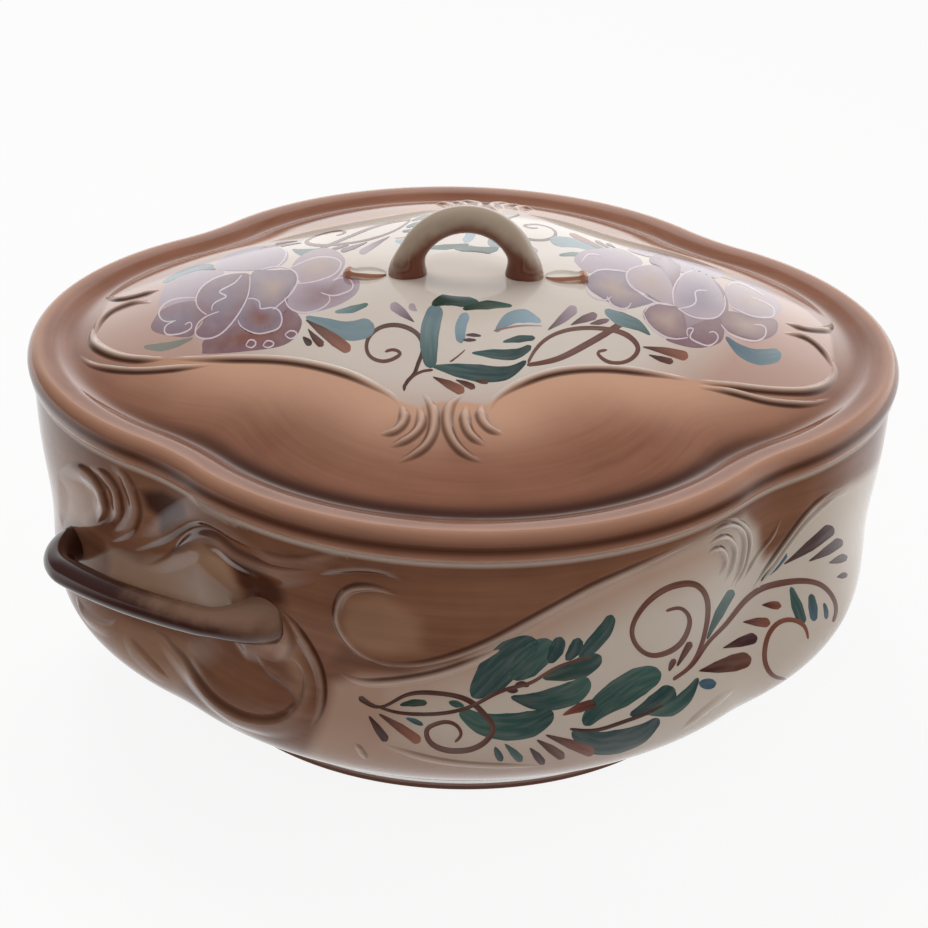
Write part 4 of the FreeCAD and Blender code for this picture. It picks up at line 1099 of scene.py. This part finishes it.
def pot_marks(surface):
    """Cream on the painted sides of the pot and in its hollow, brown elsewhere, and the bare foot."""
    grid = surface.grid
    rows = np.broadcast_to(np.arange(len(grid))[:, None], grid.shape[:2])
    inside = rows >= surface.rows.stop
    field = wall_field(surface, POT_CREAM_EDGE, 3.0, POT_CREAM_BEYOND)
    cream = np.where(inside, HOLLOW_CREAM, field)
    blush = wall_field(surface, POT_BLUSH_EDGE, 16.0)
    # Painted shade under the lid's edge at the top of the wall, then pooled glaze with painted shade in the
    # pools.
    pool_and_shade = 0.3 * bell(grid[..., 2] - RIM, 7) * ~inside * (rows >= surface.rows.start)
    for share, edge in POT_POOLS_AND_SHADE:
        pool_and_shade = np.maximum(pool_and_shade, share * wall_field(surface, edge, 2.5))
    # Thin glaze with a painted sheen in the milky patches.
    thin_and_sheen = np.max([share * wall_field(surface, edge, 3.0) for share, edge in POT_THIN_AND_SHEEN], axis=0)
    # Painted highlight along the top of the lip, under the lid.
    crest_and_highlight = 0.45 * ease(RIM - 2.2, RIM - 1.2, grid[..., 2]) * ~inside
    bare = ease(BARE_HEIGHT + 0.4, BARE_HEIGHT - 0.4, grid[..., 2])
    return {"cream": cream, "blush": blush, "thin_and_sheen": thin_and_sheen, "pool_and_shade": pool_and_shade, "crest_and_highlight": crest_and_highlight, "bare": bare,
            "brush": brush_mark(grid, STREAKS_LONG, STREAKS_POT)}


def tube(path, side, up, wide, high):
    """Oval section carried along a path: side and up span the section, wide and high are its axes."""
    turn = full_turn(BAR_COLUMNS)
    return (path[:, None] + side[:, None] * (wide[:, None] / 2 * np.cos(turn))[..., None]
            + up[:, None] * (high[:, None] / 2 * np.sin(turn))[..., None])


# Side handles: bar bowed along Y at a reach along X, bent in to the wall at both ends, tilt in degrees.
HANDLE_REACH, HANDLE_BOW, HANDLE_SPAN, HANDLE_BEND = 144.6, 210.0, 32.0, 22.0
HANDLE_ROOTS, HANDLE_HEIGHT, HANDLE_SHIFT, HANDLE_TILT = (121.8, 125.8), 74.7, 5.8, 7.6
# Bar's section in its middle and at its ends, lean of its ends in radians, share of the rear end's flare,
# depth of its ends in the wall.
BAR_WIDE, BAR_HIGH, BAR_END_WIDE, BAR_END_HIGH = 9.8, 9.2, 16.0, 17.0
HANDLE_LEAN, REAR_FLARE, HANDLE_ROOT_DEEP = 0.48, 0.35, 3.2


def handle_half(root):
    """Half of the bar's path from its middle: an arc of the bow, then one of the bend down to its root."""
    lean = np.arcsin(HANDLE_SPAN / HANDLE_BOW)
    bow = np.linspace(0, lean, 30)[:-1]
    start = HANDLE_REACH - HANDLE_BOW
    corner = np.array((start, 0)) + (HANDLE_BOW - HANDLE_BEND) * np.array((np.cos(lean), np.sin(lean)))
    bend = np.linspace(lean, np.arccos((root - corner[0]) / HANDLE_BEND), 24)
    arc = np.stack((start + HANDLE_BOW * np.cos(bow), HANDLE_BOW * np.sin(bow)), axis=-1)
    return np.concatenate((arc, corner + HANDLE_BEND * np.stack((np.cos(bend), np.sin(bend)), axis=-1)))


def handle_grid(turn):
    """Bar of a side handle, turned round the axis by an angle.

    Its path is an arc of the bow with an arc of the bend at each end, and its oval section grows
    smoothly towards both ends, where it turns square to the leaning wall.
    """
    low, high = (handle_half(root) for root in HANDLE_ROOTS)
    flat = np.concatenate((low[:0:-1] * (1, -1), high))
    path = np.concatenate((flat, np.zeros((len(flat), 1))), axis=1)
    share = np.linspace(-1, 1, len(path))
    way = np.gradient(path, axis=0)
    way /= np.linalg.norm(way, axis=1, keepdims=True)
    square = ease(0.8, 1, np.abs(share))[:, None]
    into = np.stack((-np.sign(share) * np.cos(HANDLE_LEAN), 0 * share + np.sin(HANDLE_LEAN), 0 * share), -1)
    way = way * (1 - square) + square * into
    way /= np.linalg.norm(way, axis=1, keepdims=True)
    up = np.broadcast_to((0.0, 0.0, 1.0), path.shape)
    side = np.cross(way, up)
    flare = ease(0.62, 1, np.abs(share)) * np.where(share < 0, REAR_FLARE, 1)
    grid = tube(path, side, up, BAR_WIDE + (BAR_END_WIDE - BAR_WIDE) * flare,
                BAR_HIGH + (BAR_END_HIGH - BAR_HIGH) * flare)
    tilt = np.radians(HANDLE_TILT)
    x, y, z = np.moveaxis(grid, -1, 0)
    y, z = y * np.cos(tilt) - z * np.sin(tilt), y * np.sin(tilt) + z * np.cos(tilt)
    y, z = y - HANDLE_SHIFT, z + HANDLE_HEIGHT
    return np.stack((x * np.cos(turn) - y * np.sin(turn), x * np.sin(turn) + y * np.cos(turn), z), axis=-1)


def held_in_wall(surface, points):
    """Points of a handle, moved outwards where they lie deeper in the wall than its luted end.

    The reach of the wall at a point's own turn and height is read from the rows of the wall.
    """
    wall = surface.grid[surface.rows]
    turn = np.arctan2(points[..., 1], points[..., 0]) % (2 * np.pi) / (2 * np.pi) * wall.shape[1]
    row = np.interp(points[..., 2], wall[:, 0, 2], np.arange(len(wall)))
    reach = np.linalg.norm(sample(wall, turn, row)[..., :2], axis=-1) - HANDLE_ROOT_DEEP
    grow = np.maximum(reach / np.linalg.norm(points[..., :2], axis=-1), 1)
    return points * np.stack((grow, grow, np.ones_like(grow)), axis=-1)


# Loop of the lid, along the diagonal (1, -1), and the leaves at its feet.
LOOP_RADIUS, LOOP_HIGH, LOOP_WIDE, LOOP_FOOT_LONG, LOOP_FOOT_WIDE = 19.5, 9.2, 9.8, 13.0, 12.0
LOOP_SPRING, LOOP_ROOT = 146.0, 3.5
LEAF_LONG, LEAF_WIDE, LEAF_RISE, LEAF_ROOT = 15.0, 10.0, 3.2, 3.0
# Place and soft width of a leaf's knob along it, points over it, and places and soft widths of its
# rolled and its brown edge across it.
KNOB_PLACE, KNOB_SOFT, LEAF_COLUMNS = 0.87, 0.09, 21
ROLLED_PLACE, ROLLED_SOFT, BROWN_PLACE, BROWN_SOFT = 0.72, 0.2, 0.85, 0.16


def across_lid(along_loop, over_loop, height):
    """Points from distances along the loop, across it and up."""
    k = np.sqrt(0.5)
    return np.stack(((along_loop + over_loop) * k, (over_loop - along_loop) * k, height), axis=-1)


def loop_grid():
    """Loop of the lid: a half circle on two short legs, with an oval section that grows at its feet."""
    turn = np.linspace(0, np.pi, 49)
    leg = np.linspace(-LOOP_ROOT, 0, 5)[:-1]
    x = np.concatenate((0 * leg + 1, np.cos(turn), 0 * leg - 1)) * LOOP_RADIUS
    z = np.concatenate((leg, np.sin(turn) * LOOP_RADIUS, leg[::-1])) + LOOP_SPRING
    path = across_lid(x, 0 * x, z)
    way = np.gradient(path, axis=0)
    way /= np.linalg.norm(way, axis=1, keepdims=True)
    over = np.broadcast_to(across_lid(0.0, 1.0, 0.0), path.shape)
    inward = np.cross(way, over)
    foot = ease(9, 0, z - LOOP_SPRING)
    return tube(path, over, inward, LOOP_WIDE + (LOOP_FOOT_WIDE - LOOP_WIDE) * foot,
                LOOP_HIGH + (LOOP_FOOT_LONG - LOOP_HIGH) * foot)


def leaf_grid(sense):
    """Leaf at a foot of the loop: a long oval, dished between a raised edge and ending in a knob.

    Its half width is a power of a sine along it, with a bell for the knob near the tip.
    """
    start = LOOP_RADIUS + LOOP_FOOT_LONG / 2 + 0.3
    share = np.linspace(0, 1, 42)[1:-1]
    knob = bell(share - KNOB_PLACE, KNOB_SOFT)
    half = LEAF_WIDE / 2 * np.sin(np.pi * share ** 0.8) ** 0.7 * (1 - 0.35 * share) + 0.9 * knob
    across = np.concatenate((np.linspace(1, -1, LEAF_COLUMNS), (-0.9, 0.9)))
    rolled = bell(np.abs(across) - ROLLED_PLACE, ROLLED_SOFT)
    crown = LEAF_RISE * (0.15 + 0.3 * rolled) * (1 - np.abs(across) ** 8)
    crown = crown + knob[:, None] * LEAF_RISE * 0.7 * (1 - across ** 2)
    crown[:, LEAF_COLUMNS:] = -LEAF_ROOT
    height = LOOP_SPRING - 0.6 + crown * np.sin(np.pi * share)[:, None] ** 0.4
    along_loop = np.broadcast_to((start + LEAF_LONG * share)[:, None], height.shape)
    edge = np.maximum(bell(np.abs(across) - BROWN_PLACE, BROWN_SOFT), knob[:, None])
    return across_lid(sense * along_loop, sense * half[:, None] * across, height), edge


def tan_glaze(name, body_colour, edge_colour):
    """Tan lead glaze that turns brown where the edge mark says: brown edges, as on a luted handle, and
    painted shade on the handle bars.
    """
    material, tree, shader = new_material(name)
    # The edge mark: brown edges, and painted shade on the handle bars.
    brown_and_shade = add_node(tree, "Attribute", {"attribute_name": "edge"}).outputs["Fac"]
    place = add_node(tree, "TexCoord").outputs["Object"]
    cloud = add_node(tree, "TexNoise", Vector=place, Scale=1 / (7 * MM), Detail=4.0).outputs["Fac"]
    blend = reckon(tree, "MULTIPLY_ADD", cloud, 0.5, brown_and_shade)
    share = ramp(tree, blend, 0.35, 1.05, kind="SMOOTHSTEP")
    colour = mix(tree, share, linear(body_colour), linear(edge_colour))
    tree.links.new(colour, shader.inputs["Base Color"])
    ripple(tree, shader, place)
    set_shader(shader, Roughness=GLOSSY, IOR=GLAZE_BEND)
    return material


def make_pot():
    """Pot, its scrolls, its painting and its two handles."""
    surface = Surface(*pot_grid())
    form = sum(rise * wall_field(surface, edge, soft) for rise, soft, edge in POT_FORMS)
    surface = Surface(surface.grid + surface.normal * form[..., None], surface.rows)
    marks = pot_marks(surface)
    glaze = lead_glaze("brown_and_cream_lead_glaze_pot", brown="#8F624A", dark="#734A35", thin_and_sheen="#B08A70",
                       cream="#CDBEB0", blush="#B08872")
    make_piece("pot_bowl", [surface.grid], {mark: [value] for mark, value in marks.items()}, glaze, "pot",
               "pot_body")
    scrolls("pot_scrolls", surface, marks, POT_SCROLLS, glaze, "pot")
    drawings = strokes(POT_LEAVES + POT_TENDRILS + POT_DROPS)
    painted("pot_painting", surface, drawings, brushed_colour("underglaze_colours_pot"), "pot")
    bar = tan_glaze("brown_handle_glaze", "#94705A", "#40201A")
    for node, turn in (("side_handle_right", 0.0), ("side_handle_left", np.pi)):
        grid = held_in_wall(surface, handle_grid(turn))
        # Top of the bar, painted lighter as if lit from above.
        top = np.maximum(np.sin(full_turn(BAR_COLUMNS) + 0.4), 0)
        share = np.linspace(0, 1, len(grid))[:, None]
        # Brown all round at the rear, only underneath towards the front, and less at the front end: painted
        # shade underneath a top painted lighter.
        brown = (0.95 - 0.95 * ease(0.25, 0.95, share) * top ** 1.5) * (1 - 0.5 * ease(0.78, 1.0, share))
        make_piece(node + "_bar", [grid], {"edge": [brown]}, bar, "pot", node)


def make_lid():
    """Lid, its scrolls, its painting, its loop and the two leaves."""
    grid, dome, first = lid_grid()
    surface = Surface(grid, dome)
    marks = lid_marks(surface, first)
    glaze = lead_glaze("brown_and_cream_lead_glaze_lid", brown="#A06B52", dark="#86553F", thin_and_sheen="#DCAB8E",
                       cream="#DDD0C4", blush="#BF9484")
    make_piece("lid_dome", [surface.grid], {mark: [value] for mark, value in marks.items()}, glaze, "lid",
               "lid_shell")
    scrolls("lid_scrolls", surface, marks, LID_SCROLLS, glaze, "lid")
    drawings = strokes(LID_TENDRILS + LID_LEAVES + LID_DROPS)
    drawings += [((heart, edge), False, petal_pixels(points)) for heart, edge, points in LID_PETALS]
    drawings += [(("line", "line"), False, stroke_pixels(points, LINE_WIDTHS)) for points in PETAL_LINES]
    painted("lid_painting", surface, drawings, brushed_colour("underglaze_colours_lid"), "lid")
    tan = tan_glaze("tan_loop_glaze", "#B6A28E", "#703E2A")
    grid = loop_grid()
    # Brown on the loop's inner side and towards its feet.
    brown = 0.42 + np.sin(full_turn(BAR_COLUMNS)) * 0.55
    brown = brown + 0.5 * ease(LOOP_SPRING + 13, LOOP_SPRING + 2, grid[..., 2])
    make_piece("lid_loop_bar", [grid], {"edge": [brown]}, tan, "lid", "lid_loop")
    leaf = tan_glaze("cream_leaf_glaze", "#E2D8CC", "#B0755A")
    for node, sense in (("lid_leaf_right", 1), ("lid_leaf_left", -1)):
        grid, rim = leaf_grid(sense)
        make_piece(node + "_blade", [grid], {"edge": [rim]}, leaf, "lid", node)


# Studio, with lengths in metres, turns in radians and light as a share of white.
# Floor: half its side and the share of plain white that the camera sees on it.
FLOOR_HALF, FLOOR_WHITE = 20, 0.9
# Card: inner and outer edge, height over the floor, half its spread, turn from the camera's side, points.
CARD_INNER, CARD_OUTER, CARD_HEIGHT = 0.125, 2.5, 0.004
CARD_SPREAD, CARD_TURN, CARD_POINTS = 1.8, 0.05, 40
# Its tone, that of its inner edge and of its sides, and where these fade: width, from and to a dot product.
CARD_TONE, CARD_EDGE, CARD_SIDES = 0.06, 0.9, 0.95
CARD_FADE, CARD_FRONT, CARD_ASIDE = 0.12, 0.35, -0.2
# Lamps: name, place and power in watts. They share a size and the point that they light.
LAMPS = (("soft_lamp", (0.23, 0.63, 1.1), 7.2), ("side_lamp", (0.43, -0.83, 0.55), 2.7),
         ("fill_lamp", (-0.95, -0.25, 0.5), 2.0))
LAMP_SIZE, LAMP_AIM = 0.7, (0, 0, 0.08)
# Tent: light of its wall, of its open side and of its top, turn from the camera's back, and the parts of
# a direction between which the wall grows to the back, falls off upwards and the top grows.
TENT_WALL, TENT_FRONT, TENT_TOP, TENT_TURN = 1.6, 0.14, 0.15, 0.5
TENT_BACK, TENT_FALL, TENT_RISE = (0.1, 0.95), (0.75, 0.1), (0.1, 1.0)


def put(thing, right, up, back, place):
    """Put a camera or a lamp into the scene at a place in metres, turned by its three axes."""
    bpy.context.scene.collection.objects.link(thing)
    matrix = np.eye(4)
    matrix[:3] = np.stack((right, up, back, place), axis=-1)
    thing.matrix_world = Matrix(matrix.tolist())


def make_camera():
    """Camera at the photograph's place, with the lens of its focal length."""
    data = bpy.data.cameras.new("camera")
    data.sensor_width = SENSOR
    data.lens = SENSOR * FOCAL / PICTURE
    camera = bpy.data.objects.new("camera", data)
    put(camera, RIGHT, UP, BACK, EYE * MM)
    bpy.context.scene.camera = camera


def make_light(name, place, power):
    """Soft square lamp at a place, turned to the pot, that lights without a reflection of its own."""
    data = bpy.data.lights.new(name, "AREA")
    data.size, data.energy = LAMP_SIZE, power
    lamp = bpy.data.objects.new(name, data)
    back = np.subtract(place, LAMP_AIM)
    back /= np.linalg.norm(back)
    side = np.cross((0, 0, 1), back)
    side /= np.linalg.norm(side)
    put(lamp, side, np.cross(back, side), back, place)
    lamp.visible_glossy = False


def make_stage(name, points, faces, material):
    """Flat piece of the studio, which isn't part of the object."""
    mesh = bpy.data.meshes.new(name)
    mesh.from_pydata(points, [], faces)
    mesh.materials.append(material)
    piece = bpy.data.objects.new(name, mesh)
    bpy.context.scene.collection.objects.link(piece)
    return piece


def make_floor():
    """Sheet of white paper. To the camera and in reflections it is mostly plain white, with some shadow."""
    material, tree, shader = new_material("white_paper")
    set_shader(shader, Base_Color=linear("#F2F1F0"), Roughness=0.9)
    rays = add_node(tree, "LightPath").outputs
    seen = reckon(tree, "MAXIMUM", rays["Is Camera Ray"], rays["Is Glossy Ray"])
    seen = reckon(tree, "MAXIMUM", seen, rays["Is Transmission Ray"])
    share = reckon(tree, "MULTIPLY", seen, FLOOR_WHITE)
    white = add_node(tree, "Emission", Color=(1, 1, 1, 1), Strength=1.0)
    both = add_node(tree, "MixShader", s0=share, s1=shader.outputs[0], s2=white.outputs[0])
    tree.links.new(both.outputs[0], tree.nodes["Material Output"].inputs["Surface"])
    corners = [(x * FLOOR_HALF, y * FLOOR_HALF, 0) for x, y in ((-1, -1), (1, -1), (1, 1), (-1, 1))]
    make_stage("floor", corners, [(0, 1, 2, 3)], material)


def toward(tree, way, heading):
    """How far a direction points along a level heading: their dot product."""
    level = (np.cos(heading), np.sin(heading), 0.0)
    return add_node(tree, "VectorMath", {"operation": "DOT_PRODUCT"}, s0=way, s1=level).outputs["Value"]


def make_card():
    """Dark card on the table before the pot, which only reflections show: an open ring with pale edges."""
    material, tree, _ = new_material("dark_card")
    place = add_node(tree, "TexCoord").outputs["Object"]
    out = add_node(tree, "VectorMath", {"operation": "LENGTH"}, s0=place).outputs["Value"]
    tone = ramp(tree, out, CARD_INNER, CARD_INNER + CARD_FADE, CARD_EDGE, CARD_TONE, "SMOOTHSTEP")
    way = add_node(tree, "VectorMath", {"operation": "NORMALIZE"}, s0=place).outputs["Vector"]
    heading = np.arctan2(BACK[1], BACK[0]) + CARD_TURN
    side = toward(tree, way, heading)
    side = ramp(tree, side, CARD_FRONT, CARD_ASIDE, CARD_TONE, CARD_SIDES, "SMOOTHSTEP")
    tone = reckon(tree, "MAXIMUM", tone, side)
    glow = add_node(tree, "Emission", Color=(1, 1, 1, 1), Strength=tone)
    tree.links.new(glow.outputs[0], tree.nodes["Material Output"].inputs["Surface"])
    turn = heading + np.linspace(-CARD_SPREAD, CARD_SPREAD, CARD_POINTS)
    ring = np.stack((np.cos(turn), np.sin(turn), np.full(CARD_POINTS, CARD_HEIGHT)), axis=-1)
    points = np.concatenate((ring * (CARD_INNER, CARD_INNER, 1), ring * (CARD_OUTER, CARD_OUTER, 1)))
    near = np.arange(CARD_POINTS - 1)
    faces = np.stack((near, near + CARD_POINTS, near + CARD_POINTS + 1, near + 1), axis=-1)
    card = make_stage("dark_card", points.tolist(), faces.tolist(), material)
    card.visible_camera = card.visible_diffuse = card.visible_shadow = card.visible_transmission = False


def make_surroundings():
    """Soft white tent behind and above the pot, open and dim on the camera's side.

    The light grows smoothly with how far a direction points away from the camera, falls off towards
    straight up, and has a weaker part that grows towards straight up.
    """
    world = bpy.data.worlds.new("white_tent")
    world.use_nodes = True
    bpy.context.scene.world = world
    tree = world.node_tree
    tree.nodes.clear()
    way = add_node(tree, "TexCoord").outputs["Generated"]
    behind = toward(tree, way, np.arctan2(-BACK[1], -BACK[0]) - TENT_TURN)
    far = ramp(tree, behind, *TENT_BACK, kind="SMOOTHSTEP")
    height = add_node(tree, "SeparateXYZ", Vector=way).outputs["Z"]
    low = ramp(tree, height, *TENT_FALL, kind="SMOOTHSTEP")
    high = ramp(tree, height, *TENT_RISE, kind="SMOOTHSTEP")
    wall = reckon(tree, "MULTIPLY", far, low)
    wall = reckon(tree, "MULTIPLY_ADD", wall, TENT_WALL, TENT_FRONT)
    total = reckon(tree, "MULTIPLY_ADD", high, TENT_TOP, wall)
    light = add_node(tree, "Background", Color=(1, 1, 1, 1), Strength=total)
    add_node(tree, "OutputWorld", Surface=light.outputs[0])


def make_studio():
    """Floor, card, tent and soft lamps."""
    make_floor()
    make_card()
    make_surroundings()
    for lamp in LAMPS:
        make_light(*lamp)


make_pot()
make_lid()
make_camera()
make_studio()
bpy.context.scene.view_settings.view_transform = "Standard"
